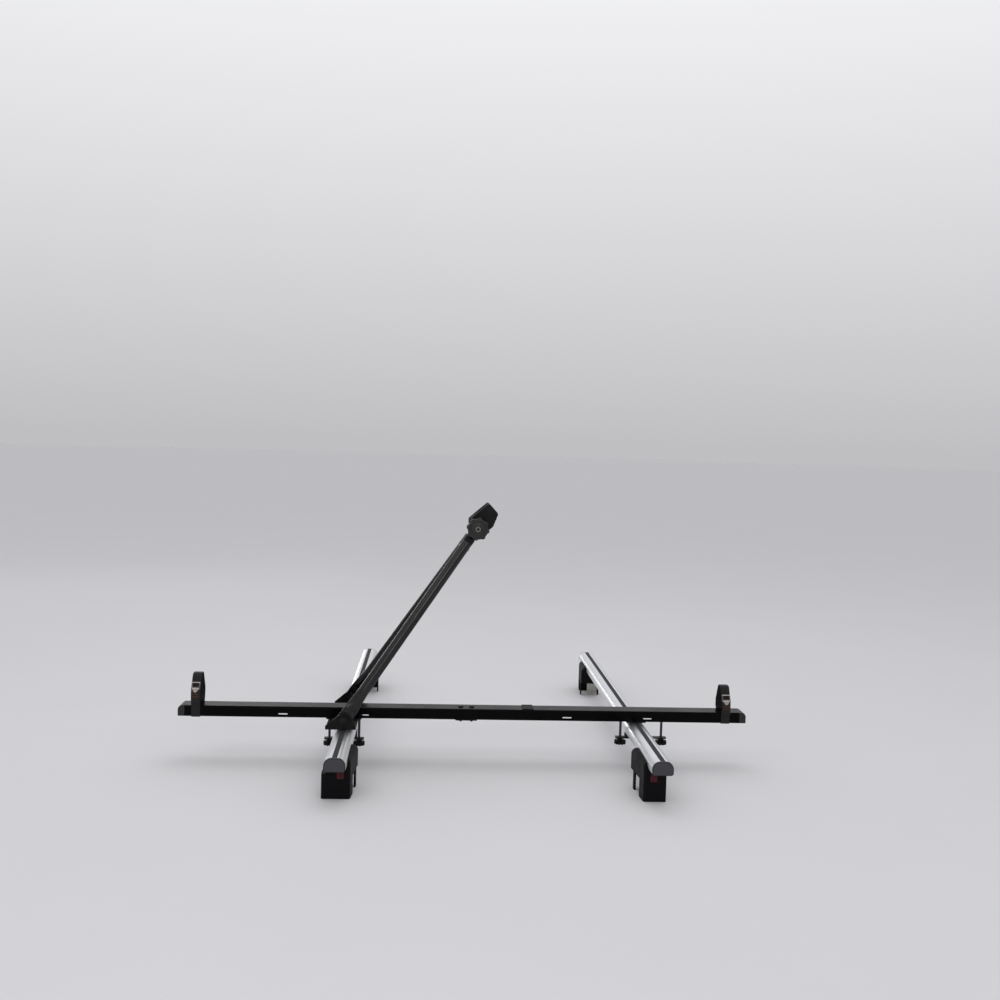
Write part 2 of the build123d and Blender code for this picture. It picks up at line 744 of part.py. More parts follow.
clamps = {
    "front": (bar_front_x, front_bolt_xs, front_plate_z),
    "rear": (bar_rear_x, rear_bolt_xs, rear_plate_z),
}
lip_top = rail_bottom + rail_wall
for end, (bar_x, bolt_xs, plate_z) in clamps.items():
    plate_centre = sum(bolt_xs) / 2
    plate_length = bolt_xs[1] - bolt_xs[0] + 2 * clamp_plate_end
    hub_top = plate_z - running_gap
    star_top = hub_top - star_hub_height
    bolt_end = star_top - star_height + star_bolt_proud
    with BuildPart() as t_bolts:
        for x in bolt_xs:
            with BuildSketch(level_plane(x, rail_y, bolt_end)):
                Circle(clamp_bolt_radius)
            extrude(amount=lip_top - bolt_end)
            with BuildSketch(level_plane(x, rail_y, lip_top)):
                RectangleRounded(t_head_width, t_head_length, rail_wall)
            extrude(amount=t_head_height)
    finish(t_bolts.part, f"{end}_clamp_bolts")

    with BuildPart() as clamp_plate:
        with BuildSketch(level_plane(plate_centre, rail_y, plate_z)):
            RectangleRounded(plate_length, clamp_plate_depth, rail_corner_radius)
        extrude(amount=clamp_plate_thickness)
        for x in bolt_xs:
            with BuildSketch(level_plane(x, rail_y, plate_z)):
                Circle(bore_radius)
            extrude(amount=clamp_plate_thickness, mode=Mode.SUBTRACT)
    finish(clamp_plate.part, f"{end}_clamp_plate")

    block_low = plate_z + clamp_plate_thickness
    block_left = max(bar_x - bar_width / 2, bolt_xs[0] + clamp_bolt_radius + running_gap)
    block_right = min(bar_x + bar_width / 2, bolt_xs[1] - clamp_bolt_radius - running_gap)
    with BuildPart() as clamp_block:
        with BuildSketch(level_plane((block_left + block_right) / 2, rail_y, block_low)):
            RectangleRounded(block_right - block_left, clamp_block_depth, rail_wall)
        extrude(amount=bar_bottom - running_gap - block_low)
    finish(clamp_block.part, f"{end}_clamp_block")

    for place, x in zip(("left", "right"), bolt_xs):
        with BuildPart() as star_knob:
            with BuildSketch(level_plane(x, rail_y, star_top - star_height)):
                star_profile()
            extrude(amount=star_height)
            with BuildSketch(level_plane(x, rail_y, star_top)):
                Circle(star_hub_radius)
            extrude(amount=star_hub_height)
            with BuildSketch(level_plane(x, rail_y, star_top - star_height)):
                Circle(clamp_bolt_radius + bore_gap)
            extrude(amount=star_height + star_hub_height, mode=Mode.SUBTRACT)
        finish(star_knob.part, f"{end}_knob_{place}")

with BuildPart() as rear_rail_pad:
    with BuildSketch(level_plane(bar_rear_x, rail_y, bracket_bottom)):
        Rectangle(bar_width, rear_pad_depth)
    extrude(amount=rail_bottom - bracket_bottom)
finish(rear_rail_pad.part, "rear_rail_pad")


# Straps: closed loops of webbing round the rail and the tyre's place
strap_inner_half = rail_width / 2 + strap_clearance
strap_inner_low = rail_bottom - strap_clearance


def strap_outline(top, grow, mode=Mode.ADD):
    """The loop's face in the plane across the rail, drawn larger by grow."""
    half = ((strap_inner_half, strap_inner_low), (strap_inner_half, rail_top + strap_clearance),
            (strap_bulge_half, top - strap_waist_drop), (strap_bulge_half, top - strap_shoulder_drop),
            (strap_rim_half, top - strap_crown_drop), (strap_crown_half, top))
    radii = (strap_corner_radius, strap_bulge_radius, strap_bulge_radius, strap_bulge_radius,
             strap_crown_radius, strap_crown_radius)
    points = list(half) + [(-y, z) for y, z in reversed(half)]
    with BuildLine() as loop:
        FilletPolyline(*points, radius=list(radii) + list(reversed(radii)), close=True)
    face = make_face(loop.edges(), mode=Mode.PRIVATE)
    if grow:
        face = offset(face, amount=grow, kind=Kind.ARC, mode=Mode.PRIVATE)
    add(face, mode=mode)


for end, x, top in zip(("front", "rear"), strap_xs, strap_top_heights):
    strap_top = top - strap_thickness
    with BuildPart() as strap:
        with BuildSketch(along_plane(x - strap_width / 2, rail_y, 0)):
            strap_outline(strap_top, strap_thickness)
            strap_outline(strap_top, 0, Mode.SUBTRACT)
        extrude(amount=strap_width)
    finish(strap.part, f"wheel_strap_{end}")

    # Buckle on the strap's slanted side above the tyre, on the near side
    shoulder = Vector(0, -strap_bulge_half, strap_top - strap_shoulder_drop)
    rim = Vector(0, -strap_rim_half, strap_top - strap_crown_drop)
    climb = (rim - shoulder).normalized()
    outward = Vector(0, -climb.Z, climb.Y)
    seat = shoulder + (rim - shoulder) * buckle_place_share + outward * (strap_thickness + strap_clearance)
    seat_point = seat + Vector(x, rail_y, 0)
    buckle_plane = Plane(seat_point, x_dir=(1, 0, 0), z_dir=outward)
    pin_plane = Plane(
        seat_point + outward * tongue_barrel_radius - Vector(buckle_width / 2, 0, 0),
        x_dir=climb,
        z_dir=(1, 0, 0),
    )
    with BuildPart() as buckle_frame:
        with BuildSketch(buckle_plane):
            Rectangle(buckle_width, buckle_frame_height, align=(Align.CENTER, Align.MIN))
            for ear_side in (-1, 1):
                with Locations((ear_side * (buckle_width - buckle_ear_width) / 2, 0)):
                    Rectangle(buckle_ear_width, buckle_ear_height)
            with Locations((0, (buckle_frame_height + buckle_ear_height / 2) / 2)):
                Rectangle(buckle_window_width, buckle_window_height, mode=Mode.SUBTRACT)
            Rectangle(buckle_width - 2 * buckle_ear_width, buckle_ear_height, mode=Mode.SUBTRACT)
        extrude(amount=buckle_thickness)
        with BuildSketch(pin_plane):
            Circle(tongue_pin_radius)
        extrude(amount=buckle_width)
        for ear_side in (0, buckle_width - buckle_ear_width):
            with BuildSketch(pin_plane.offset(ear_side)):
                Circle(tongue_barrel_radius)
            extrude(amount=buckle_ear_width)
    finish(buckle_frame.part, f"buckle_frame_{end}")

    barrel_start = (buckle_width - tongue_width) / 2
    with BuildPart() as buckle_tongue:
        with BuildSketch(
            Plane(
                seat_point + outward * (tongue_barrel_radius - tongue_thickness / 2),
                x_dir=(1, 0, 0),
                z_dir=outward,
            )
        ):
            with BuildLine():
                Polyline(
                    (-tongue_width / 2, 0),
                    (-tongue_tip_width / 2, -tongue_length),
                    (tongue_tip_width / 2, -tongue_length),
                    (tongue_width / 2, 0),
                    close=True,
                )
            make_face()
        extrude(amount=tongue_thickness)
        with BuildSketch(pin_plane.offset(barrel_start)):
            Circle(tongue_barrel_radius)
        extrude(amount=tongue_width)
        with BuildSketch(pin_plane):
            Circle(tongue_pin_radius + bore_gap)
        extrude(amount=buckle_width, mode=Mode.SUBTRACT)
    finish(buckle_tongue.part, f"buckle_tongue_{end}")


# Feet: one design, built at the near end of a bar and mirrored for the far end
def depth_y(depth):
    """The Y of a place that lies depth inwards from the near foot's outer face."""
    return depth - foot_outer_y


block_start = groove_start - foot_wall


def cheek_half_at(depth):
    """The foot's half width towards the car's middle, which widens from its outer face to its inner end."""
    return foot_outer_half + (foot_inner_half - foot_outer_half) * depth / foot_length


def foot_slice(start, stop, middle, back_half, inset):
    """The foot's plan between two depths. The sign of middle tells the side that faces the car's middle."""
    with BuildLine() as plan:
        Polyline(
            (-middle * back_half, depth_y(start)),
            (middle * (cheek_half_at(start) - inset), depth_y(start)),
            (middle * (cheek_half_at(stop) - inset), depth_y(stop)),
            (-middle * back_half, depth_y(stop)),
            close=True,
        )
    make_face(plan.edges())


def write_foot_piece(piece, name, end):
    """Writes a near foot's piece and its mirror image for the far foot."""
    finish(piece, f"{name}_{end}_near")
    with BuildPart() as far:
        mirror(piece, about=Plane.XZ)
    finish(far.part, f"{name}_{end}_far")


foot_pads = []
foot_middles = {"front": 1, "rear": -1}
pocket_height = bar_bottom - foot_roof
saddle_half = bar_width / 2 + saddle_gap
for end, x in bar_xs.items():
    middle = foot_middles[end]
    back_half = foot_back_halves[end]
    pocket_back = min(back_half, bar_width / 2) - foot_wall
    cut_reach = back_half + overrun
    with BuildPart() as housing:
        with BuildSketch(level_plane(x, 0, 0)):
            foot_slice(0, foot_length, middle, back_half, 0)
        extrude(amount=bar_axis_z)
        fillet(housing.edges().filter_by(Axis.Z), foot_edge_round)
        fillet(
            housing.edges().group_by(Axis.Z)[-1].sort_by(Axis.Y)[-1],
            foot_top_round,
        )
        saddle_centre = x + middle * (saddle_half - cut_reach) / 2
        with BuildSketch(level_plane(saddle_centre, -foot_outer_y - overrun, bar_bottom)):
            Rectangle(
                saddle_half + cut_reach,
                foot_length + 2 * overrun,
                align=(Align.CENTER, Align.MIN),
            )
        extrude(amount=bar_height, mode=Mode.SUBTRACT)
        shoulder_x = x - middle * (bar_width / 2 + bar_width)
        with BuildSketch(level_plane(shoulder_x, -foot_outer_y - overrun, foot_shoulder_z)):
            Rectangle(
                2 * bar_width,
                foot_length + 2 * overrun,
                align=(Align.CENTER, Align.MIN),
            )
        extrude(amount=bar_height, mode=Mode.SUBTRACT)
        with BuildSketch(level_plane(x, depth_y(cheek_start), 0)):
            Rectangle(
                2 * (foot_inner_half + overrun),
                foot_length,
                align=(Align.CENTER, Align.MIN),
            )
        extrude(amount=cheek_low, mode=Mode.SUBTRACT)
        with BuildSketch(level_plane(x, 0, 0)):
            foot_slice(foot_wall, block_start, middle, pocket_back, foot_wall)
        extrude(amount=pocket_height, mode=Mode.SUBTRACT)
        with BuildSketch(level_plane(x, 0, 0)):
            foot_slice(groove_end, foot_length - foot_wall, middle, pocket_back, foot_wall)
        extrude(amount=pocket_height, mode=Mode.SUBTRACT)
        with BuildSketch(level_plane(x, depth_y(groove_start), 0)):
            Rectangle(
                2 * foot_inner_half + 2 * overrun,
                groove_end - groove_start,
                align=(Align.CENTER, Align.MIN),
            )
        extrude(amount=groove_height, mode=Mode.SUBTRACT)
        with BuildSketch(across_plane(x, depth_y(groove_end), foot_screw_z)):
            Circle(foot_screw_radius + running_gap)
        extrude(amount=groove_end - block_start, mode=Mode.SUBTRACT)
        insert_x = x + middle * insert_offset
        with BuildSketch(across_plane(insert_x, depth_y(foot_wall), insert_z)):
            Circle(insert_spigot_radius + bore_gap)
        extrude(amount=foot_wall, mode=Mode.SUBTRACT)
    write_foot_piece(housing.part, "foot_housing", end)

    with BuildPart() as foot_pad:
        with BuildSketch(level_plane(x, depth_y(groove_start), groove_height - foot_pad_thickness)):
            Rectangle(
                foot_pad_width,
                groove_end - groove_start,
                align=(Align.CENTER, Align.MIN),
            )
        extrude(amount=foot_pad_thickness)
    foot_pads.append(foot_pad.part)

    with BuildPart() as foot_jaw:
        with BuildSketch(level_plane(x, depth_y(jaw_plate_start), jaw_plate_low)):
            Rectangle(jaw_plate_width, jaw_plate_thickness, align=(Align.CENTER, Align.MIN))
        extrude(amount=jaw_plate_high - jaw_plate_low)
        with BuildSketch(level_plane(x, depth_y(jaw_plate_start), jaw_plate_low)):
            Rectangle(jaw_plate_width, jaw_hook_length, align=(Align.CENTER, Align.MAX))
        extrude(amount=jaw_hook_height)
        with BuildSketch(across_plane(x, depth_y(jaw_plate_start + jaw_plate_thickness), foot_screw_z)):
            Circle(foot_screw_radius + bore_gap)
        extrude(amount=jaw_plate_thickness, mode=Mode.SUBTRACT)
    write_foot_piece(foot_jaw.part, "foot_jaw", end)

    screw_end = jaw_plate_start + jaw_plate_thickness + foot_jaw_travel + foot_screw_spare
    with BuildPart() as foot_screw:
        with BuildSketch(across_plane(x, depth_y(screw_end), foot_screw_z)):
            Circle(foot_screw_radius)
        extrude(amount=screw_end - block_start)
        with BuildSketch(across_plane(x, depth_y(block_start - running_gap), foot_screw_z)):
            Circle(foot_screw_head_radius)
        extrude(amount=foot_screw_head_length)
        with BuildSketch(
            across_plane(
                x,
                depth_y(block_start - running_gap - foot_screw_head_length + foot_screw_socket_depth),
                foot_screw_z,
            )
        ):
            RegularPolygon(foot_screw_socket_radius, 6, major_radius=False)
        extrude(amount=foot_screw_socket_depth, mode=Mode.SUBTRACT)
        with BuildSketch(across_plane(x, depth_y(block_start), foot_screw_z)):
            Circle(foot_screw_radius)
        extrude(amount=running_gap)
    write_foot_piece(foot_screw.part, "foot_screw", end)

    with BuildPart() as insert:
        with BuildSketch(across_plane(insert_x, -foot_outer_y - running_gap, insert_z)):
            RectangleRounded(insert_width, insert_height, insert_round)
        extrude(amount=insert_face)
        with BuildSketch(across_plane(insert_x, depth_y(insert_spigot_length), insert_z)):
            Circle(insert_spigot_radius)
        extrude(amount=insert_spigot_length + running_gap)
        with BuildSketch(across_plane(insert_x, depth_y(insert_spigot_length), insert_z)):
            Rectangle(insert_tab_length, insert_tab_width)
        extrude(amount=insert_tab_thickness)
    write_foot_piece(insert.part, "foot_insert", end)

with BuildPart() as pads:
    for pad in foot_pads:
        add(pad)
        mirror(pad, about=Plane.XZ)
finish(pads.part, "foot_pads")
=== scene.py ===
"""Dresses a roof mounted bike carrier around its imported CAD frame: a finish for every CAD piece, woven wheel
straps with their sewn ends, small fittings on arm, head and buckles, and a pale studio with its camera."""

import json
import math

import bmesh
import bpy
from mathutils import Matrix, Quaternion, Vector


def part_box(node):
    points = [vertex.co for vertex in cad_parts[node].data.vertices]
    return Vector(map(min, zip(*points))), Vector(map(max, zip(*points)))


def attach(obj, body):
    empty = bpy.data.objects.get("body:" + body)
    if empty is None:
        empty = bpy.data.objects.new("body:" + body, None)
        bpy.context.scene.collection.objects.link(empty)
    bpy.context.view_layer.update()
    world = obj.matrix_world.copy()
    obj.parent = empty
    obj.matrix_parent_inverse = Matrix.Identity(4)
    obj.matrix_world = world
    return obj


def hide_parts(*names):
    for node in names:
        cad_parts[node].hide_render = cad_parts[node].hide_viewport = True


bl_info = {
    "name": "Roof Bike Carrier",
    "version": (1, 0, 0),
    "blender": (4, 5, 0),
    "location": "3D View > Sidebar > Carrier",
    "description": "Finishes, straps and small fittings of a roof mounted bike carrier",
    "category": "Object",
}

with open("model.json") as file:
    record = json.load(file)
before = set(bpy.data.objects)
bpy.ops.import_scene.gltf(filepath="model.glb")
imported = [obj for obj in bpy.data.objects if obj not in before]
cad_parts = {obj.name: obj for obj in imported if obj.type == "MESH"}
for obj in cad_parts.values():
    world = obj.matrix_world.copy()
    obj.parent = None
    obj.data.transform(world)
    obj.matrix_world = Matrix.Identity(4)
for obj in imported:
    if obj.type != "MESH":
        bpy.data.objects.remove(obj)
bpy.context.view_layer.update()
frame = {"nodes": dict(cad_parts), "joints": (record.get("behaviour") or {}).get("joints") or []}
MM = 0.001
# Vertices closer than this, in metres, are welded
WELD_DISTANCE = 1e-7


# Colour, node and mesh helpers

def srgb(hex_colour):
    """Turns an sRGB hex colour to the linear values that a shader takes."""
    channels = [int(hex_colour[i : i + 2], 16) / 255 for i in (1, 3, 5)]
    linear = [c / 12.92 if c <= 0.04045 else ((c + 0.055) / 1.055) ** 2.4 for c in channels]
    return (*linear, 1.0)


def shaded(colour, share):
    """A colour with its red, green and blue scaled by a share, up to full strength."""
    return (*(min(1.0, channel * share) for channel in colour[:3]), 1.0)


def add_node(tree, kind, inputs=None, **settings):
    """Adds a node with its settings. Each input is a value, or another node's output to link."""
    node = tree.nodes.new(kind)
    for name, value in settings.items():
        setattr(node, name, value)
    for socket, value in (inputs or {}).items():
        if isinstance(value, bpy.types.NodeSocket):
            tree.links.new(value, node.inputs[socket])
        else:
            node.inputs[socket].default_value = value
    return node


def per_metre(size_mm):
    """The texture scale at which a pattern repeats about every size_mm millimetres."""
    return 1000.0 / size_mm


def band_scale(pitch_mm):
    """The wave texture's scale for bands pitch_mm millimetres apart."""
    return math.pi / (10 * pitch_mm * MM)


def new_finish(name, **sockets):
    """Starts a material: its tree, its shader with these socket values, and the object coordinates."""
    made = bpy.data.materials.new(name)
    made.use_nodes = True
    tree = made.node_tree
    tree.nodes.clear()
    shader = add_node(tree, "ShaderNodeBsdfPrincipled", sockets)
    add_node(tree, "ShaderNodeOutputMaterial", {"Surface": shader.outputs["BSDF"]})
    place = add_node(tree, "ShaderNodeTexCoord").outputs["Object"]
    return made, tree, shader, place


def add_piece(name, mesh_maker, finish, body, smooth_angle=35.0):
    """Makes a piece from a function that fills a bmesh, and gives it its finish and body.

    Edges sharper than smooth_angle degrees stay sharp."""
    bm = bmesh.new()
    mesh_maker(bm)
    bmesh.ops.remove_doubles(bm, verts=bm.verts, dist=WELD_DISTANCE)
    bmesh.ops.recalc_face_normals(bm, faces=bm.faces)
    mesh = bpy.data.meshes.new(name)
    bm.to_mesh(mesh)
    bm.free()
    mesh.shade_smooth()
    mesh.set_sharp_from_angle(angle=math.radians(smooth_angle))
    mesh.materials.append(finish)
    piece = bpy.data.objects.new(name, mesh)
    bpy.context.scene.collection.objects.link(piece)
    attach(piece, body)
    return piece


def dress(finish, *nodes):
    """Gives CAD nodes a finish."""
    for name in nodes:
        node = frame["nodes"][name]
        if not node.material_slots:
            raise RuntimeError(f"{name} has no material slot")
        for slot in node.material_slots:
            slot.link = "OBJECT"
            slot.material = finish


def rounded_path(points, radii, closed, steps=8):
    """Points along a line in a plane with its corners rounded, each with the direction to its right."""
    spots = []
    count = len(points)
    for i, (corner, radius) in enumerate(zip(points, radii)):
        here = Vector(corner)
        if not closed and i in (0, count - 1):
            spots.append(here)
            continue
        before = (Vector(points[i - 1]) - here).normalized()
        after = (Vector(points[(i + 1) % count]) - here).normalized()
        half_angle = before.angle(after) / 2
        reach = radius / math.tan(half_angle)
        centre = here + (before + after).normalized() * (radius / math.sin(half_angle))
        start = here + before * reach - centre
        turn = start.angle_signed(here + after * reach - centre)
        for step in range(steps + 1):
            spots.append(centre + Matrix.Rotation(-turn * step / steps, 2) @ start)
    path = []
    total = len(spots)
    for i, spot in enumerate(spots):
        back = spots[i - 1] if closed or i else spot
        ahead = spots[(i + 1) % total] if closed or i < total - 1 else spot
        along = (ahead - back).normalized()
        path.append((spot, Vector((along.y, -along.x))))
    return path


def sweep_band(bm, x, path, low, high, width, closed, edge=0.35, crown=0.0):
    """A flat band along a path in the plane across the rail: low to high off the path, with rounded edges.
    Its UV is in metres across and along the band."""
    half = width / 2
    quarter = width / 4
    middle = (low + high) / 2
    section = [
        (-half, middle),
        (-half + edge, high),
        (-quarter, high + crown),
        (0.0, high + crown),
        (quarter, high + crown),
        (half - edge, high),
        (half, middle),
        (half - edge, low),
        (0.0, low),
        (-half + edge, low),
    ]
    uv_layer = bm.loops.layers.uv.new("UVMap")
    rings, lengths = [], [0.0]
    for i, (spot, outward) in enumerate(path):
        if i:
            lengths.append(lengths[-1] + (spot - path[i - 1][0]).length * MM)
        ring = []
        for across, off in section:
            place = spot + outward * off
            ring.append(bm.verts.new(((x + across) * MM, place.x * MM, place.y * MM)))
        rings.append(ring)
    if closed:
        rings.append(rings[0])
        lengths.append(lengths[-1] + (path[0][0] - path[-1][0]).length * MM)
    for i in range(len(rings) - 1):
        for j in range(len(section)):
            k = (j + 1) % len(section)
            face = bm.faces.new((rings[i][j], rings[i][k], rings[i + 1][k], rings[i + 1][j]))
            for loop, (ring, column) in zip(face.loops, ((i, j), (i, k), (i + 1, k), (i + 1, j))):
                loop[uv_layer].uv = (section[column][0] * MM, lengths[ring])
    if not closed:
        for ring in (rings[0], rings[-1]):
            bm.faces.new(ring)


def add_turned(bm, profile, place, axis, steps=32):
    """Turns a profile of (distance along the axis, radius) in millimetres about an axis at place."""
    axis = Vector(axis).normalized()
    across = axis.orthogonal().normalized()
    side = axis.cross(across)
    rings = []
    for along, radius in profile:
        centre = Vector(place) + axis * along
        if not radius:
            rings.append([bm.verts.new(centre * MM)])
            continue
        turns = [2 * math.pi * i / steps for i in range(steps)]
        rings.append([
            bm.verts.new((centre + (across * math.cos(t) + side * math.sin(t)) * radius) * MM) for t in turns
        ])
    for inner, outer in zip(rings, rings[1:]):
        for i in range(steps):
            k = (i + 1) % steps
            spots = [ring[j % len(ring)] for ring, j in ((inner, i), (inner, k), (outer, k), (outer, i))]
            bm.faces.new(list(dict.fromkeys(spots)))


# A stitch's arch: share along it, with its lift and its width there as shares of the thread's thickness
STITCH_ARCH = ((0.0, -0.3, 0.6), (0.2, 0.25, 1.0), (0.8, 0.25, 1.0), (1.0, -0.3, 0.6))
STITCH_SIDES = 6


def add_stitch(bm, start, end, up, thickness):
    """One stitch of thread: a short arched bead between two points on the cloth, in millimetres."""
    start, end, up = Vector(start), Vector(end), Vector(up).normalized()
    side = (end - start).normalized().cross(up).normalized()
    turns = [2 * math.pi * i / STITCH_SIDES for i in range(STITCH_SIDES)]
    rings = []
    for share, lift, size in STITCH_ARCH:
        centre = start.lerp(end, share) + up * lift * thickness
        radius = thickness / 2 * size
        rings.append([
            bm.verts.new((centre + (side * math.cos(t) + up * math.sin(t)) * radius) * MM) for t in turns
        ])
    for low, high in zip(rings, rings[1:]):
        for i in range(STITCH_SIDES):
            k = (i + 1) % STITCH_SIDES
            bm.faces.new((low[i], low[k], high[k], high[i]))
    for ring in (rings[0], rings[-1]):
        bm.faces.new(ring)


# Sizes and colours that a user would change

class CarrierSizes(bpy.types.PropertyGroup):
    """Sizes of the soft goods and small fittings, in metres."""

    webbing_crown: bpy.props.FloatProperty(
        name="Webbing crown",
        description="How far the middle of the webbing stands above its woven edges",
        default=0.15 * MM,
        unit="LENGTH",
    )
    sewn_end_length: bpy.props.FloatProperty(
        name="Sewn end",
        description="Length of the strap's end, folded and sewn below its buckle",
        default=30 * MM,
        unit="LENGTH",
    )
    thread_thickness: bpy.props.FloatProperty(
        name="Thread",
        description="Thickness of the bonded thread of the bar tacks",
        default=0.55 * MM,
        unit="LENGTH",
    )
    rivet_radius: bpy.props.FloatProperty(
        name="Rivet",
        description="Radius of the rivets that pin the legs to the yoke",
        default=3.6 * MM,
        unit="LENGTH",
    )
    ring_radius: bpy.props.FloatProperty(
        name="Lock ring",
        description="Outer radius of the grey collar over the hand knob's lock",
        default=6.9 * MM,
        unit="LENGTH",
    )


class CarrierColours(bpy.types.PropertyGroup):
    """Colours of the finishes."""

    bar: bpy.props.FloatVectorProperty(
        name="Crossbar",
        description="Silver anodised aluminium of the crossbars",
        subtype="COLOR",
        size=4,
        min=0.0,
        max=1.0,
        default=srgb("#E6E7E9"),
    )
    coating: bpy.props.FloatVectorProperty(
        name="Powder coat",
        description="Black powder coat of the wheel rail and the arm's legs",
        subtype="COLOR",
        size=4,
        min=0.0,
        max=1.0,
        default=srgb("#060607"),
    )
    plastic: bpy.props.FloatVectorProperty(
        name="Moulded plastic",
        description="Black filled nylon of the feet, jaws and star knobs",
        subtype="COLOR",
        size=4,
        min=0.0,
        max=1.0,
        default=srgb("#0D0D0F"),
    )
    cap: bpy.props.FloatVectorProperty(
        name="End cap",
        description="Dark grey plastic of the crossbars' end caps",
        subtype="COLOR",
        size=4,
        min=0.0,
        max=1.0,
        default=srgb("#38383E"),
    )
    insert: bpy.props.FloatVectorProperty(
        name="Foot insert",
        description="Red plastic of the feet's quarter-turn inserts",
        subtype="COLOR",
        size=4,
        min=0.0,
        max=1.0,
        default=srgb("#47131E"),
    )
    webbing: bpy.props.FloatVectorProperty(
        name="Webbing",
        description="Black polyester webbing of the wheel straps",
        subtype="COLOR",
        size=4,
        min=0.0,
        max=1.0,
        default=srgb("#131113"),
    )
    thread: bpy.props.FloatVectorProperty(
        name="Thread",
        description="Rust brown thread of the straps' bar tacks",
        subtype="COLOR",
        size=4,
        min=0.0,
        max=1.0,
        default=srgb("#74400F"),
    )


class CarrierStudio(bpy.types.PropertyGroup):
    """The camera and the floor."""

    lens: bpy.props.FloatProperty(
        name="Lens", description="Focal length on a 36 mm sensor, in millimetres", default=40.64
    )
    place: bpy.props.FloatVectorProperty(
        name="Camera",
        description="Where the camera stands",
        subtype="TRANSLATION",
        unit="LENGTH",
        default=(-82.18 * MM, -2941.09 * MM, 765.99 * MM),
    )
    pan: bpy.props.FloatProperty(
        name="Pan",
        description="How far the camera looks to the right of straight across the rail",
        unit="ROTATION",
        default=math.radians(3.236),
    )
    tilt: bpy.props.FloatProperty(
        name="Tilt",
        description="How far the camera looks down",
        unit="ROTATION",
        default=math.radians(2.928),
    )
    roll: bpy.props.FloatProperty(
        name="Roll",
        description="How far the camera is turned about its own line of sight",
        unit="ROTATION",
        default=math.radians(1.556),
    )
    floor_radius: bpy.props.FloatProperty(
        name="Floor", description="Radius of the pale floor", unit="LENGTH", default=60.0
    )


# Finishes, each named for the real material and how its surface is made

def extruded_anodised_aluminium(colour):
    # Extruded, then satin anodised: milky silver metal with faint die lines along the bar. The real lines are
    # about 0.5 mm apart and are drawn at 2.5 mm so that they show.
    made, tree, shader, place = new_finish(
        "extruded_anodised_aluminium", **{"Base Color": colour, "Metallic": 1.0, "Roughness": 0.34}
    )
    stretched = add_node(
        tree,
        "ShaderNodeMapping",
        {"Vector": place, "Scale": (per_metre(2.5), per_metre(600), per_metre(2.5))},
    )
    lines = add_node(
        tree, "ShaderNodeTexNoise", {"Vector": stretched.outputs["Vector"], "Scale": 1.0, "Detail": 4.0}
    )
    handling = add_node(
        tree,
        "ShaderNodeTexNoise",
        {"Vector": place, "Scale": per_metre(45), "Detail": 6.0, "Roughness": 0.62},
    )
    tone = add_node(
        tree,
        "ShaderNodeMix",
        {0: handling.outputs["Fac"], 6: colour, 7: shaded(colour, 0.8)},
        data_type="RGBA",
    )
    haze = add_node(
        tree,
        "ShaderNodeMapRange",
        {"Value": lines.outputs["Fac"], "From Min": 0.3, "From Max": 0.7, "To Min": 0.27, "To Max": 0.42},
    )
    bump = add_node(
        tree,
        "ShaderNodeBump",
        {"Height": lines.outputs["Fac"], "Strength": 0.12, "Distance": 0.05 * MM},
    )
    tree.links.new(tone.outputs[2], shader.inputs["Base Color"])
    tree.links.new(haze.outputs["Result"], shader.inputs["Roughness"])
    tree.links.new(bump.outputs["Normal"], shader.inputs["Normal"])
    return made


def extruded_ribbed_rubber():
    # EPDM pressed through a die: dull dark grey with fine ribs along the bar every 2.2 mm, chalky on their
    # crests where dust settles.
    made, tree, shader, place = new_finish("extruded_ribbed_rubber", **{"Roughness": 0.78, "IOR": 1.5})
    ribs = add_node(
        tree,
        "ShaderNodeTexWave",
        {"Vector": place, "Scale": band_scale(2.2), "Distortion": 0.0},
        wave_type="BANDS",
        bands_direction="X",
    )
    dust = add_node(
        tree, "ShaderNodeTexNoise", {"Vector": place, "Scale": per_metre(9), "Detail": 5.0, "Roughness": 0.7}
    )
    chalk = add_node(
        tree,
        "ShaderNodeMath",
        {0: ribs.outputs["Fac"], 1: dust.outputs["Fac"]},
        operation="MULTIPLY",
    )
    tone = add_node(
        tree,
        "ShaderNodeMix",
        {0: chalk.outputs["Value"], 6: srgb("#121214"), 7: srgb("#38383C")},
        data_type="RGBA",
    )
    bump = add_node(
        tree, "ShaderNodeBump", {"Height": ribs.outputs["Fac"], "Strength": 0.7, "Distance": 0.4 * MM}
    )
    tree.links.new(tone.outputs[2], shader.inputs["Base Color"])
    tree.links.new(bump.outputs["Normal"], shader.inputs["Normal"])
    return made


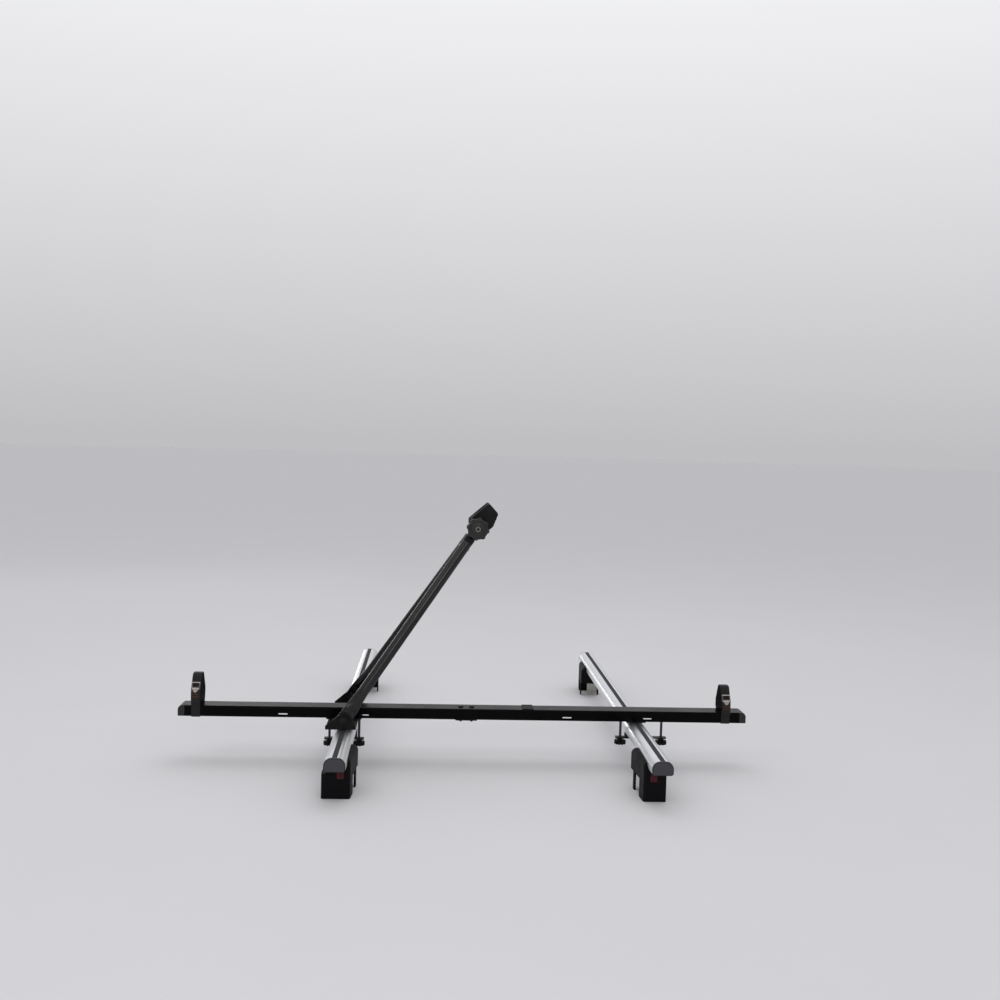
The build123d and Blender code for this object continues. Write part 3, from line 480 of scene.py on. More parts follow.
def powder_coat(name, colour, roughness, peel_mm, dust_colour="#1A1A1C", specular=0.14):
    """Baked polyester powder over metal, with the soft ripple that flowed powder leaves."""
    # Orange peel is a ripple a few millimetres across; a thin film of dust dulls it in clouds 60 mm wide.
    made, tree, shader, place = new_finish(
        name,
        **{
            "Base Color": colour,
            "Roughness": roughness,
            "IOR": 1.52,
            "Specular IOR Level": specular,
        },
    )
    peel = add_node(
        tree, "ShaderNodeTexNoise", {"Vector": place, "Scale": per_metre(peel_mm), "Detail": 2.0}
    )
    clouds = add_node(
        tree,
        "ShaderNodeTexNoise",
        {"Vector": place, "Scale": per_metre(60), "Detail": 7.0, "Roughness": 0.65},
    )
    film = add_node(
        tree,
        "ShaderNodeMapRange",
        {"Value": clouds.outputs["Fac"], "From Min": 0.48, "From Max": 0.78, "To Min": 0.0, "To Max": 0.22},
    )
    tone = add_node(
        tree,
        "ShaderNodeMix",
        {0: film.outputs["Result"], 6: colour, 7: srgb(dust_colour)},
        data_type="RGBA",
    )
    dull = add_node(
        tree,
        "ShaderNodeMapRange",
        {
            "Value": clouds.outputs["Fac"],
            "From Min": 0.35,
            "From Max": 0.75,
            "To Min": roughness * 0.85,
            "To Max": roughness * 1.45,
        },
    )
    bump = add_node(
        tree, "ShaderNodeBump", {"Height": peel.outputs["Fac"], "Strength": 0.25, "Distance": 0.12 * MM}
    )
    tree.links.new(tone.outputs[2], shader.inputs["Base Color"])
    tree.links.new(dull.outputs["Result"], shader.inputs["Roughness"])
    tree.links.new(bump.outputs["Normal"], shader.inputs["Normal"])
    return made


def moulded_nylon(name, colour, grain_mm, light_colour, roughness=0.52, specular=0.2):
    """Glass filled nylon from a spark eroded mould."""
    # The mould's grain is about 0.4 mm and is drawn coarser so that it shows. Fibres near the skin give
    # lighter flecks, and the flow of the melt leaves broad patches that differ a little.
    made, tree, shader, place = new_finish(
        name, **{"Roughness": roughness, "IOR": 1.53, "Specular IOR Level": specular}
    )
    grain = add_node(
        tree,
        "ShaderNodeTexVoronoi",
        {"Vector": place, "Scale": per_metre(grain_mm), "Randomness": 1.0},
        feature="SMOOTH_F1",
    )
    flow = add_node(
        tree, "ShaderNodeTexNoise", {"Vector": place, "Scale": per_metre(26), "Detail": 6.0, "Roughness": 0.6}
    )
    flecks = add_node(
        tree, "ShaderNodeTexNoise", {"Vector": place, "Scale": per_metre(grain_mm * 2.4), "Detail": 3.0}
    )
    pale = add_node(
        tree,
        "ShaderNodeMapRange",
        {"Value": flecks.outputs["Fac"], "From Min": 0.52, "From Max": 0.74, "To Min": 0.0, "To Max": 0.55},
    )
    patch = add_node(
        tree,
        "ShaderNodeMix",
        {0: flow.outputs["Fac"], 6: shaded(colour, 0.7), 7: shaded(colour, 1.3)},
        data_type="RGBA",
    )
    tone = add_node(
        tree,
        "ShaderNodeMix",
        {0: pale.outputs["Result"], 6: patch.outputs[2], 7: srgb(light_colour)},
        data_type="RGBA",
    )
    sheen = add_node(
        tree,
        "ShaderNodeMapRange",
        {
            "Value": flow.outputs["Fac"],
            "From Min": 0.3,
            "From Max": 0.7,
            "To Min": roughness * 0.85,
            "To Max": roughness * 1.2,
        },
    )
    bump = add_node(
        tree, "ShaderNodeBump", {"Height": grain.outputs["Distance"], "Strength": 0.4, "Distance": 0.15 * MM}
    )
    tree.links.new(tone.outputs[2], shader.inputs["Base Color"])
    tree.links.new(sheen.outputs["Result"], shader.inputs["Roughness"])
    tree.links.new(bump.outputs["Normal"], shader.inputs["Normal"])
    return made


def moulded_rubber():
    # Pressed in a blasted mould: matt near-black with a bloom of grey in patches about 14 mm wide.
    made, tree, shader, place = new_finish("moulded_rubber", **{"Roughness": 0.85, "IOR": 1.5})
    bloom = add_node(
        tree, "ShaderNodeTexNoise", {"Vector": place, "Scale": per_metre(14), "Detail": 8.0, "Roughness": 0.7}
    )
    pores = add_node(tree, "ShaderNodeTexNoise", {"Vector": place, "Scale": per_metre(1.2), "Detail": 2.0})
    tone = add_node(
        tree,
        "ShaderNodeMix",
        {0: bloom.outputs["Fac"], 6: srgb("#101011"), 7: srgb("#1C1C1E")},
        data_type="RGBA",
    )
    bump = add_node(
        tree, "ShaderNodeBump", {"Height": pores.outputs["Fac"], "Strength": 0.5, "Distance": 0.2 * MM}
    )
    tree.links.new(tone.outputs[2], shader.inputs["Base Color"])
    tree.links.new(bump.outputs["Normal"], shader.inputs["Normal"])
    return made


def plated_steel(name, bright, dull, roughness, thread_pitch_mm=None, thread_axis="Z"):
    """Turned or pressed steel under a thin plating."""
    # The plating's crystals cloud the shine in patches about 6 mm wide. A screw's thread shows as bands at
    # its own pitch.
    made, tree, shader, place = new_finish(
        name, **{"Base Color": srgb(bright), "Metallic": 1.0, "Roughness": roughness}
    )
    crystals = add_node(
        tree, "ShaderNodeTexNoise", {"Vector": place, "Scale": per_metre(6), "Detail": 6.0, "Roughness": 0.6}
    )
    tone = add_node(
        tree,
        "ShaderNodeMix",
        {0: crystals.outputs["Fac"], 6: srgb(bright), 7: srgb(dull)},
        data_type="RGBA",
    )
    shine = add_node(
        tree,
        "ShaderNodeMapRange",
        {
            "Value": crystals.outputs["Fac"],
            "From Min": 0.3,
            "From Max": 0.7,
            "To Min": roughness * 0.75,
            "To Max": roughness * 1.3,
        },
    )
    height = crystals.outputs["Fac"]
    depth = 0.03 * MM
    if thread_pitch_mm:
        height = add_node(
            tree,
            "ShaderNodeTexWave",
            {"Vector": place, "Scale": band_scale(thread_pitch_mm)},
            wave_type="BANDS",
            bands_direction=thread_axis,
        ).outputs["Fac"]
        depth = 0.3 * MM
    bump = add_node(tree, "ShaderNodeBump", {"Height": height, "Strength": 0.5, "Distance": depth})
    tree.links.new(tone.outputs[2], shader.inputs["Base Color"])
    tree.links.new(shine.outputs["Result"], shader.inputs["Roughness"])
    tree.links.new(bump.outputs["Normal"], shader.inputs["Normal"])
    return made


def chromed_die_casting(name, bright, warm, roughness=0.16):
    """Zinc die casting, polished and chromed, as on the straps' buckles."""
    # Bright and slightly warm, with fine rubs about 3 mm across where the strap and fingers wear it.
    made, tree, shader, place = new_finish(
        name, **{"Base Color": srgb(bright), "Metallic": 1.0, "Roughness": roughness}
    )
    rubs = add_node(
        tree, "ShaderNodeTexNoise", {"Vector": place, "Scale": per_metre(3), "Detail": 8.0, "Roughness": 0.7}
    )
    tone = add_node(
        tree, "ShaderNodeMix", {0: rubs.outputs["Fac"], 6: srgb(bright), 7: srgb(warm)}, data_type="RGBA"
    )
    shine = add_node(
        tree,
        "ShaderNodeMapRange",
        {
            "Value": rubs.outputs["Fac"],
            "From Min": 0.35,
            "From Max": 0.7,
            "To Min": roughness * 0.7,
            "To Max": roughness * 2.0,
        },
    )
    tree.links.new(tone.outputs[2], shader.inputs["Base Color"])
    tree.links.new(shine.outputs["Result"], shader.inputs["Roughness"])
    return made


def woven_polyester_webbing(colour):
    # Flat woven on a narrow loom: lengthwise ribs 1.8 mm wide crossed by weft picks every 1.2 mm, with a soft
    # sheen from the filaments and a slightly faded warm cast.
    made, tree, shader, place = new_finish(
        "woven_polyester_webbing",
        **{"Roughness": 0.72, "IOR": 1.5, "Sheen Weight": 0.12, "Sheen Roughness": 0.4},
    )
    shader.inputs["Sheen Tint"].default_value = srgb("#6B5A5C")
    lay = add_node(tree, "ShaderNodeTexCoord").outputs["UV"]
    warp = add_node(
        tree,
        "ShaderNodeTexWave",
        {"Vector": lay, "Scale": band_scale(1.8), "Distortion": 0.6, "Detail": 1.0},
        wave_type="BANDS",
        bands_direction="X",
    )
    weft = add_node(
        tree,
        "ShaderNodeTexWave",
        {"Vector": lay, "Scale": band_scale(1.2), "Distortion": 0.4, "Detail": 1.0},
        wave_type="BANDS",
        bands_direction="Y",
    )
    weave = add_node(
        tree, "ShaderNodeMath", {0: warp.outputs["Fac"], 1: weft.outputs["Fac"]}, operation="MULTIPLY"
    )
    fading = add_node(
        tree, "ShaderNodeTexNoise", {"Vector": place, "Scale": per_metre(18), "Detail": 5.0, "Roughness": 0.6}
    )
    faded = add_node(
        tree,
        "ShaderNodeMix",
        {0: fading.outputs["Fac"], 6: colour, 7: srgb("#23181B")},
        data_type="RGBA",
    )
    tone = add_node(
        tree,
        "ShaderNodeMix",
        {0: weave.outputs["Value"], 6: srgb("#0B0A0B"), 7: faded.outputs[2]},
        data_type="RGBA",
    )
    bump = add_node(
        tree, "ShaderNodeBump", {"Height": weave.outputs["Value"], "Strength": 0.8, "Distance": 0.35 * MM}
    )
    tree.links.new(tone.outputs[2], shader.inputs["Base Color"])
    tree.links.new(bump.outputs["Normal"], shader.inputs["Normal"])
    return made


def bonded_polyester_thread(colour):
    # Twisted and bonded: a low sheen with the ply's twist every 0.9 mm.
    made, tree, shader, place = new_finish(
        "bonded_polyester_thread", **{"Base Color": colour, "Roughness": 0.6, "Sheen Weight": 0.2}
    )
    twist = add_node(
        tree,
        "ShaderNodeTexWave",
        {"Vector": place, "Scale": band_scale(0.9)},
        wave_type="BANDS",
        bands_direction="DIAGONAL",
    )
    tone = add_node(
        tree,
        "ShaderNodeMix",
        {0: twist.outputs["Fac"], 6: shaded(colour, 0.6), 7: colour},
        data_type="RGBA",
    )
    bump = add_node(
        tree, "ShaderNodeBump", {"Height": twist.outputs["Fac"], "Strength": 0.5, "Distance": 0.1 * MM}
    )
    tree.links.new(tone.outputs[2], shader.inputs["Base Color"])
    tree.links.new(bump.outputs["Normal"], shader.inputs["Normal"])
    return made


def moulded_abs(name, colour, roughness=0.38, specular=0.5, rim_shade_colour=None):
    """ABS with a fine satin grain. With a colour for painted rim shade, faces that turn away from the bars'
    line take it as painted shade.
    """
    # Even colour with a light satin sheen, and small scuffs of about 5 mm that catch the light.
    made, tree, shader, place = new_finish(
        name, **{"Roughness": roughness, "IOR": 1.54, "Specular IOR Level": specular}
    )
    scuffs = add_node(
        tree, "ShaderNodeTexNoise", {"Vector": place, "Scale": per_metre(5), "Detail": 7.0, "Roughness": 0.7}
    )
    grain = add_node(tree, "ShaderNodeTexNoise", {"Vector": place, "Scale": per_metre(1.1), "Detail": 2.0})
    tone = add_node(
        tree,
        "ShaderNodeMix",
        {0: scuffs.outputs["Fac"], 6: shaded(colour, 0.82), 7: shaded(colour, 1.2)},
        data_type="RGBA",
    )
    shine = add_node(
        tree,
        "ShaderNodeMapRange",
        {
            "Value": scuffs.outputs["Fac"],
            "From Min": 0.3,
            "From Max": 0.7,
            "To Min": roughness * 0.8,
            "To Max": roughness * 1.35,
        },
    )
    bump = add_node(
        tree, "ShaderNodeBump", {"Height": grain.outputs["Fac"], "Strength": 0.3, "Distance": 0.08 * MM}
    )
    tint = tone.outputs[2]
    if rim_shade_colour:
        # The cap's flat face looks along the bar; its rounded rim turns away and is painted dark, a painted
        # shade set by the slant of its normal
        facing = add_node(tree, "ShaderNodeTexCoord").outputs["Normal"]
        turned = add_node(tree, "ShaderNodeSeparateXYZ", {"Vector": facing}).outputs["Y"]
        squareness = add_node(tree, "ShaderNodeMath", {0: turned}, operation="ABSOLUTE").outputs["Value"]
        middle = add_node(
            tree,
            "ShaderNodeMapRange",
            {"Value": squareness, "From Min": 0.975, "From Max": 0.995, "To Min": 0.0, "To Max": 1.0},
        )
        tint = add_node(
            tree,
            "ShaderNodeMix",
            {0: middle.outputs["Result"], 6: srgb(rim_shade_colour), 7: tint},
            data_type="RGBA",
        ).outputs[2]
    tree.links.new(tint, shader.inputs["Base Color"])
    tree.links.new(shine.outputs["Result"], shader.inputs["Roughness"])
    tree.links.new(bump.outputs["Normal"], shader.inputs["Normal"])
    return made


def painted_floor():
    # A rolled studio floor: pale grey emulsion with faint roller clouds about 400 mm across.
    made, tree, shader, place = new_finish("painted_studio_floor", **{"Roughness": 0.85, "IOR": 1.45})
    clouds = add_node(tree, "ShaderNodeTexNoise", {"Vector": place, "Scale": per_metre(400), "Detail": 4.0})
    tone = add_node(
        tree,
        "ShaderNodeMix",
        {0: clouds.outputs["Fac"], 6: srgb("#DFDFE1"), 7: srgb("#E3E3E5")},
        data_type="RGBA",
    )
    tree.links.new(tone.outputs[2], shader.inputs["Base Color"])
    return made


# Finishes that several operators share, made by the first of them that runs

def shared_rubber():
    """The rubber of all pads, blocks and liners."""
    return bpy.data.materials.get("moulded_rubber") or moulded_rubber()


def shared_zinc():
    """The zinc plating of rivets, clamp bolt and foot jaws: bright grey with a faint yellow cast."""
    name = "zinc_plated_steel"
    return bpy.data.materials.get(name) or plated_steel(name, "#C9C7C0", "#8F8D86", 0.34)


def shared_pressed_steel():
    """The coated plates of the base, the clamps and the joiner, duller than the rail."""
    name = "powder_coated_pressed_steel"
    return bpy.data.materials.get(name) or powder_coat(name, srgb("#151513"), 0.4, 4.0, "#2A2A28")


# Places on the carrier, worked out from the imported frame, in millimetres

def corners(node):
    """A node's lowest and highest corners at rest, in millimetres."""
    low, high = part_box(node)
    return Vector(low) / MM, Vector(high) / MM


def joint_place(name):
    """Where a hinge turns, in millimetres."""
    joint = next(joint for joint in frame["joints"] if joint["name"] == name)
    return Vector(joint["pos_m"]) / MM


# A strap's outline across the rail, as its CAD solid has it
RAIL_WALL_GAP = 0.3
WEBBING_THICKNESS = 1.5
# Half widths of its inner line
BULGE_HALF = 31.0
RIM_HALF = 14.0
CROWN_HALF = 9.0
# Drops from the top of its inner line
CROWN_DROP = 6.0
SHOULDER_DROP = 39.0
WAIST_DROP = 55.0
# Radii of its corners, from the rail's underside up to the crown
STRAP_CORNERS = (0.7, 9.0, 9.0, 9.0, 4.0, 4.0)
SHOULDER_CORNER = STRAP_CORNERS[3]
# Share of the slanted side that lies below the buckle
BUCKLE_PLACE_SHARE = 0.19
# The sewn end starts below the buckle and lies on the loop; its faces are measured off the loop's inner line
SEWN_END_BELOW_BUCKLE = 2.4
SEWN_END_LOW = 1.55
SEWN_END_HIGH = 2.5
SEWN_END_CROWN = 0.1
SEWN_END_MARGIN = 1.0


def strap_places(end):
    """The middle of a strap across the rail and along it, its width, and its inner outline's levels."""
    low, high = corners(f"wheel_strap_{end}")
    rail_low, rail_high = corners(f"rail_{end}_half")
    return {
        "x": (low.x + high.x) / 2,
        "width": high.x - low.x,
        "y": (rail_low.y + rail_high.y) / 2,
        "half": (rail_high.y - rail_low.y) / 2 + RAIL_WALL_GAP,
        "low": rail_low.z - RAIL_WALL_GAP,
        "rail_top": rail_high.z + RAIL_WALL_GAP,
        "top": high.z - WEBBING_THICKNESS,
    }


def strap_loop_path(places):
    """The webbing's inner line, round the rail and up to its crown."""
    top = places["top"]
    side = (
        (places["half"], places["low"]),
        (places["half"], places["rail_top"]),
        (BULGE_HALF, top - WAIST_DROP),
        (BULGE_HALF, top - SHOULDER_DROP),
        (RIM_HALF, top - CROWN_DROP),
        (CROWN_HALF, top),
    )
    points = [(places["y"] + y, z) for y, z in side] + [(places["y"] - y, z) for y, z in reversed(side)]
    return rounded_path(points, STRAP_CORNERS + tuple(reversed(STRAP_CORNERS)), closed=True)


def slanted_side(places):
    """A strap's slanted side, on the near side: its lower end, the way up along it, and the buckle's foot."""
    shoulder = Vector((places["y"] - BULGE_HALF, places["top"] - SHOULDER_DROP))
    rim = Vector((places["y"] - RIM_HALF, places["top"] - CROWN_DROP))
    return shoulder, (rim - shoulder).normalized(), shoulder + (rim - shoulder) * BUCKLE_PLACE_SHARE


def sewn_end_path(places, length):
    """The line of a strap's sewn end, from just below the buckle down the slanted and the upright side."""
    shoulder, climb, buckle_foot = slanted_side(places)
    start = buckle_foot - climb * SEWN_END_BELOW_BUCKLE
    upright = length - (start - shoulder).length
    foot = shoulder - Vector((0.0, upright))
    return rounded_path((start, shoulder, foot), (0.0, SHOULDER_CORNER, 0.0), closed=False)


def along_path(path, distance):
    """The spot on a path at a distance from its start, with its outward direction."""
    for (spot, outward), (next_spot, _) in zip(path, path[1:]):
        step = (next_spot - spot).length
        if distance <= step:
            return spot.lerp(next_spot, distance / step), outward
        distance -= step
    return path[-1]


# Operators, one for each piece or group of like pieces

class CARRIER_OT_crossbars(bpy.types.Operator):
    """Finish the crossbars, their ribbed strips and their end caps"""

    bl_idname = "carrier.crossbars"
    bl_label = "Crossbars"

    def execute(self, context):
        colours = context.scene.carrier_colours
        dress(extruded_anodised_aluminium(tuple(colours.bar)), "crossbar_front", "crossbar_rear")
        dress(extruded_ribbed_rubber(), "bar_strips")
        # The end caps' rounded rims are painted near-black as shade
        dress(moulded_abs("moulded_grey_abs", tuple(colours.cap), 0.46, rim_shade_colour="#0D0D0F"), "bar_end_caps")
        return {"FINISHED"}


class CARRIER_OT_rail(bpy.types.Operator):
    """Finish the wheel rail, its joint, its end caps and the pad where the arm rests"""

    bl_idname = "carrier.rail"
    bl_label = "Wheel rail"

    def execute(self, context):
        colours = context.scene.carrier_colours
        coat = powder_coat("gloss_powder_coated_rail", tuple(colours.coating), 0.24, 5.0, specular=0.05)
        dress(coat, "rail_front_half", "rail_rear_half", "rail_joiner")
        dress(shared_pressed_steel(), "joiner_plate")
        dress(moulded_abs("moulded_black_abs", srgb("#0C0C0D"), 0.5), "rail_end_caps")
        dress(plated_steel("black_oxide_steel", "#4A4A4E", "#2C2C30", 0.42), "joiner_fasteners")
        dress(shared_rubber(), "arm_rest_pad")
        return {"FINISHED"}


# Radius of the legs' tube
LEG_RADIUS = 12.25
# Half the distance between the legs' axes, at the pivots and at the frame clamp's hinge
LEG_SPREAD_LOW = 115.2
LEG_SPREAD_HIGH = 17.6
# How far the rivets stand from that hinge, and how deep their seat lies in the leg
RIVET_DISTANCE = 55.0
RIVET_SINK = 0.4
# A rivet's heights over its seat, with the share of its radius there
RIVET_PROFILE = ((-0.6, 0.0), (-0.6, 1.0), (0.5, 1.0), (1.0, 0.86), (1.5, 0.55), (1.7, 0.0))


class CARRIER_OT_arm(bpy.types.Operator):
    """Finish the folding arm and its base, and rivet the legs to the yoke"""

    bl_idname = "carrier.arm"
    bl_label = "Arm"

    def execute(self, context):
        colours = context.scene.carrier_colours
        coat = powder_coat("gloss_powder_coated_tube", tuple(colours.coating), 0.25, 6.0, specular=0.45)
        dress(coat, "arm_leg_near", "arm_leg_far")
        dress(shared_pressed_steel(), "base_bracket")
        dress(powder_coat("satin_coated_casting", srgb("#1A1A1C"), 0.5, 1.6), "arm_yoke")
        dress(plated_steel("black_oxide_bolt", "#3A3A3D", "#222225", 0.45), "pivot_fasteners")
        dress(moulded_abs("turned_natural_nylon", srgb("#B9B6AB"), 0.55), "pivot_bushes")

        # A domed rivet on each face of each leg where it enters the yoke's stub
        pivot = joint_place("arm_fold")
        eye = joint_place("head_tilt")
        length = (eye - pivot).length
        along = (eye - pivot).normalized()
        upward = Vector((-along.z, 0.0, along.x))
        reach = length - RIVET_DISTANCE
        spread = LEG_SPREAD_LOW + (LEG_SPREAD_HIGH - LEG_SPREAD_LOW) * reach / length
        radius = context.scene.carrier_sizes.rivet_radius / MM
        profile = [(height, radius * share) for height, share in RIVET_PROFILE]
        for leg, side in (("near", -1), ("far", 1)):
            for face, normal in (("top", upward), ("bottom", -upward)):
                centre = pivot + along * reach + Vector((0.0, side * spread, 0.0))
                base = centre + normal * (LEG_RADIUS - RIVET_SINK)
                add_piece(
                    f"yoke_rivet_{leg}_{face}",
                    lambda bm, base=base, normal=normal: add_turned(bm, profile, base, normal, steps=24),
                    shared_zinc(),
                    "arm",
                )
        return {"FINISHED"}


# The hand knob's dome: heights over the knob's face, with the radius there
KNOB_DOME = (
    (-0.2, 8.0),
    (2.0, 8.0),
    (2.6, 8.8),
    (2.7, 10.5),
    (2.3, 13.5),
    (1.5, 16.5),
    (0.5, 19.0),
    (-0.2, 20.2),
    (-0.2, 8.0),
)
# The collar over the lock: gap to the barrel, depth in the knob, height over the barrel inside and outside
RING_GAP = 0.12
RING_ROOT = 0.3
RING_HEIGHT = 0.45
RING_EDGE_HEIGHT = 0.1
# The hole for the key, straight and then bevelled
KEY_HOLE_RADIUS = 3.0
KEY_HOLE_WALL = 0.25
KEY_HOLE_BEVEL = 0.3


class CARRIER_OT_head(bpy.types.Operator):
    """Finish the frame clamp's jaws, liners, bolt and hand knob, and collar its lock"""

    bl_idname = "carrier.head"
    bl_label = "Frame clamp"

    def execute(self, context):
        colours = context.scene.carrier_colours
        jaw = moulded_nylon("moulded_nylon_jaw", tuple(colours.plastic), 1.1, "#1E1E21")
        dress(jaw, "near_jaw", "far_jaw")
        knob = moulded_nylon("moulded_nylon_hand_knob", srgb("#1A1A1B"), 1.4, "#3C3A38", 0.42, 0.4)
        dress(knob, "hand_knob")
        dress(shared_rubber(), "jaw_pad_near", "jaw_pad_far")
        dress(shared_zinc(), "clamp_bolt")
        dress(plated_steel("black_oxide_lock_barrel", "#1C1C1E", "#0E0E10", 0.5), "knob_lock")

        # The knob's face swells to a shallow dome round the lock
        face = corners("hand_knob")[0].y
        axis = joint_place("knob_spin")
        centre = Vector((axis.x, face, axis.z))
        add_piece(
            "hand_knob_dome",
            lambda bm: add_turned(bm, KNOB_DOME, centre, (0, -1, 0), steps=64),
            knob,
            "hand_knob",
        )

        # A collar pressed into the knob's face keeps the lock barrel in, with a hole for the key
        barrel_low, barrel_high = corners("knob_lock")
        barrel = (barrel_high.z - barrel_low.z) / 2 + RING_GAP
        proud = face - barrel_low.y + RING_GAP
        outer = context.scene.carrier_sizes.ring_radius / MM
        profile = (
            (-RING_ROOT, barrel),
            (proud, barrel),
            (proud, KEY_HOLE_RADIUS),
            (proud + KEY_HOLE_WALL, KEY_HOLE_RADIUS),
            (proud + RING_HEIGHT, KEY_HOLE_RADIUS + KEY_HOLE_BEVEL),
            (proud + RING_HEIGHT, barrel),
            (proud + RING_EDGE_HEIGHT, outer),
            (-RING_ROOT, outer),
            (-RING_ROOT, barrel),
        )
        add_piece(
            "knob_lock_ring",
            lambda bm: add_turned(bm, profile, centre, (0, -1, 0), steps=48),
            plated_steel("dull_nickel_plate", "#86837D", "#5E5B56", 0.46),
            "hand_knob",
        )
        return {"FINISHED"}


class CARRIER_OT_clamps(bpy.types.Operator):
    """Finish the clamps under the crossbars and the pad between rail and rear bar"""

    bl_idname = "carrier.clamps"
    bl_label = "Crossbar clamps"

    def execute(self, context):
        colours = context.scene.carrier_colours
        plate = shared_pressed_steel()
        rubber = shared_rubber()
        bolt = plated_steel("black_oxide_thread", "#5A5A5E", "#323236", 0.4, thread_pitch_mm=1.0)
        knob = moulded_nylon("moulded_nylon_star_knob", tuple(colours.plastic), 0.9, "#1E1E21")
        for end in ("front", "rear"):
            dress(plate, f"{end}_clamp_plate")
            dress(rubber, f"{end}_clamp_block")
            dress(bolt, f"{end}_clamp_bolts")
            dress(knob, f"{end}_knob_left", f"{end}_knob_right")
        dress(rubber, "rear_rail_pad")
        return {"FINISHED"}


class CARRIER_OT_feet(bpy.types.Operator):
    """Finish the four feet: housings, clamp jaws, screws, red inserts and roof pads"""

    bl_idname = "carrier.feet"
    bl_label = "Feet"

    def execute(self, context):
        colours = context.scene.carrier_colours
        housing = moulded_nylon("moulded_nylon_foot", tuple(colours.plastic), 1.2, "#1E1E21", 0.56, 0.08)
        insert = moulded_abs("moulded_red_abs", tuple(colours.insert), 0.45, 0.2)
        screw = plated_steel("zinc_plated_thread", "#BDBBB4", "#85837C", 0.36, 1.25, "Y")
        dress(shared_rubber(), "foot_pads")
        for end in ("front", "rear"):
            for side in ("near", "far"):
                foot = f"{end}_{side}"
                dress(housing, f"foot_housing_{foot}")
                dress(insert, f"foot_insert_{foot}")
                dress(shared_zinc(), f"foot_jaw_{foot}")
                dress(screw, f"foot_screw_{foot}")
        return {"FINISHED"}


class CARRIER_OT_straps(bpy.types.Operator):
    """Weave the wheel straps, sew their ends with rust thread, and finish their buckles"""

    bl_idname = "carrier.straps"
    bl_label = "Wheel straps"

    def execute(self, context):
        sizes = context.scene.carrier_sizes
        colours = context.scene.carrier_colours
        webbing = woven_polyester_webbing(tuple(colours.webbing))
        thread = bonded_polyester_thread(tuple(colours.thread))
        chrome = chromed_die_casting("chromed_zinc_buckle", "#E2DEDA", "#B3A79E")
        worn = chromed_die_casting("worn_zinc_buckle", "#7C7772", "#55504B", 0.3)
        crown = sizes.webbing_crown / MM
        for end in ("front", "rear"):
            places = strap_places(end)
            dress(chrome, f"buckle_tongue_{end}")
            dress(worn, f"buckle_frame_{end}")
            add_piece(
                f"buckle_bead_{end}",
                lambda bm, places=places: add_buckle_bead(bm, places),
                chrome,
                "carrier",
            )
            loop = add_piece(
                f"wheel_strap_webbing_{end}",
                lambda bm, places=places: sweep_band(
                    bm,
                    places["x"],
                    strap_loop_path(places),
                    0.0,
                    WEBBING_THICKNESS - crown,
                    places["width"],
                    closed=True,
                    crown=crown,
                ),
                webbing,
                "carrier",
            )
            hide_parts(f"wheel_strap_{end}")

            # The folded end lies on the loop below the buckle and is held by three bar tacks
            end_path = sewn_end_path(places, sizes.sewn_end_length / MM)
            add_piece(
                f"wheel_strap_sewn_end_{end}",
                lambda bm, places=places, end_path=end_path: sweep_band(
                    bm,
                    places["x"],
                    end_path,
                    SEWN_END_LOW,
                    SEWN_END_HIGH,
                    places["width"] - SEWN_END_MARGIN,
                    closed=False,
                    crown=SEWN_END_CROWN,
                ),
                webbing,
                "carrier",
            )
            add_piece(
                f"wheel_strap_bar_tacks_{end}",
                lambda bm, places=places, end_path=end_path: add_bar_tacks(
                    bm, places, end_path, sizes.thread_thickness / MM
                ),
                thread,
                "carrier",
            )
        return {"FINISHED"}


# The buckle's frame, as its CAD solid has it
BUCKLE_GAP = 0.3
BUCKLE_THICKNESS = 2.4
BUCKLE_HEIGHT = 16.0
BUCKLE_WIDTH = 20.0
# The bead on its top bar, with its axis just below the frame's face
BEAD_RADIUS = 1.3
BEAD_BEVEL = 0.3
BEAD_SINK = 0.3
BEAD_FROM_TOP = 1.5
BEAD_MARGIN = 0.4


def add_buckle_bead(bm, places):
    """A half-round bead that stands on the buckle's top bar, turned from one end to the other."""
    _, climb, seat = slanted_side(places)
    outward = Vector((-climb.y, climb.x))
    level = WEBBING_THICKNESS + BUCKLE_GAP + BUCKLE_THICKNESS - BEAD_SINK
    seat += outward * level + climb * (BUCKLE_HEIGHT - BEAD_FROM_TOP)
    half = BUCKLE_WIDTH / 2 - BEAD_MARGIN
    profile = (
        (0.0, 0.0),
        (0.0, BEAD_RADIUS - BEAD_BEVEL),
        (BEAD_BEVEL, BEAD_RADIUS),
        (2 * half - BEAD_BEVEL, BEAD_RADIUS),
        (2 * half, BEAD_RADIUS - BEAD_BEVEL),
        (2 * half, 0.0),
    )
    add_turned(bm, profile, (places["x"] - half, seat.x, seat.y), (1, 0, 0), steps=24)


# Where the bar tacks cross the sewn end, measured down it from its start, and the size of each
TACK_DISTANCES = (3.4, 9.6, 15.8)
TACK_HALF_WIDTH = 8.0
TACK_HALF_HEIGHT = 1.7
TACK_STITCHES = 16
# The thread's middle, off the loop's inner line
THREAD_HEIGHT = 2.55


def add_bar_tacks(bm, places, path, thickness):
    """Three bar tacks across the sewn end, each a zigzag of close stitches."""
    for distance in TACK_DISTANCES:
        _, facing = along_path(path, distance)
        for i in range(TACK_STITCHES):
            rise = TACK_HALF_HEIGHT if i % 2 else -TACK_HALF_HEIGHT
            ends = []
            for step, off in ((i, -rise), (i + 1, rise)):
                spot, outward = along_path(path, distance + off)
                place = spot + outward * THREAD_HEIGHT
                x = places["x"] - TACK_HALF_WIDTH + 2 * TACK_HALF_WIDTH * step / TACK_STITCHES
                ends.append((x, place.x, place.y))
            add_stitch(bm, *ends, (0.0, facing.x, facing.y), thickness)


# The sky's brightness overhead and towards the camera's side, against the horizon behind the carrier
SKY_ABOVE = 2.5
SKY_FRONT = 0.35

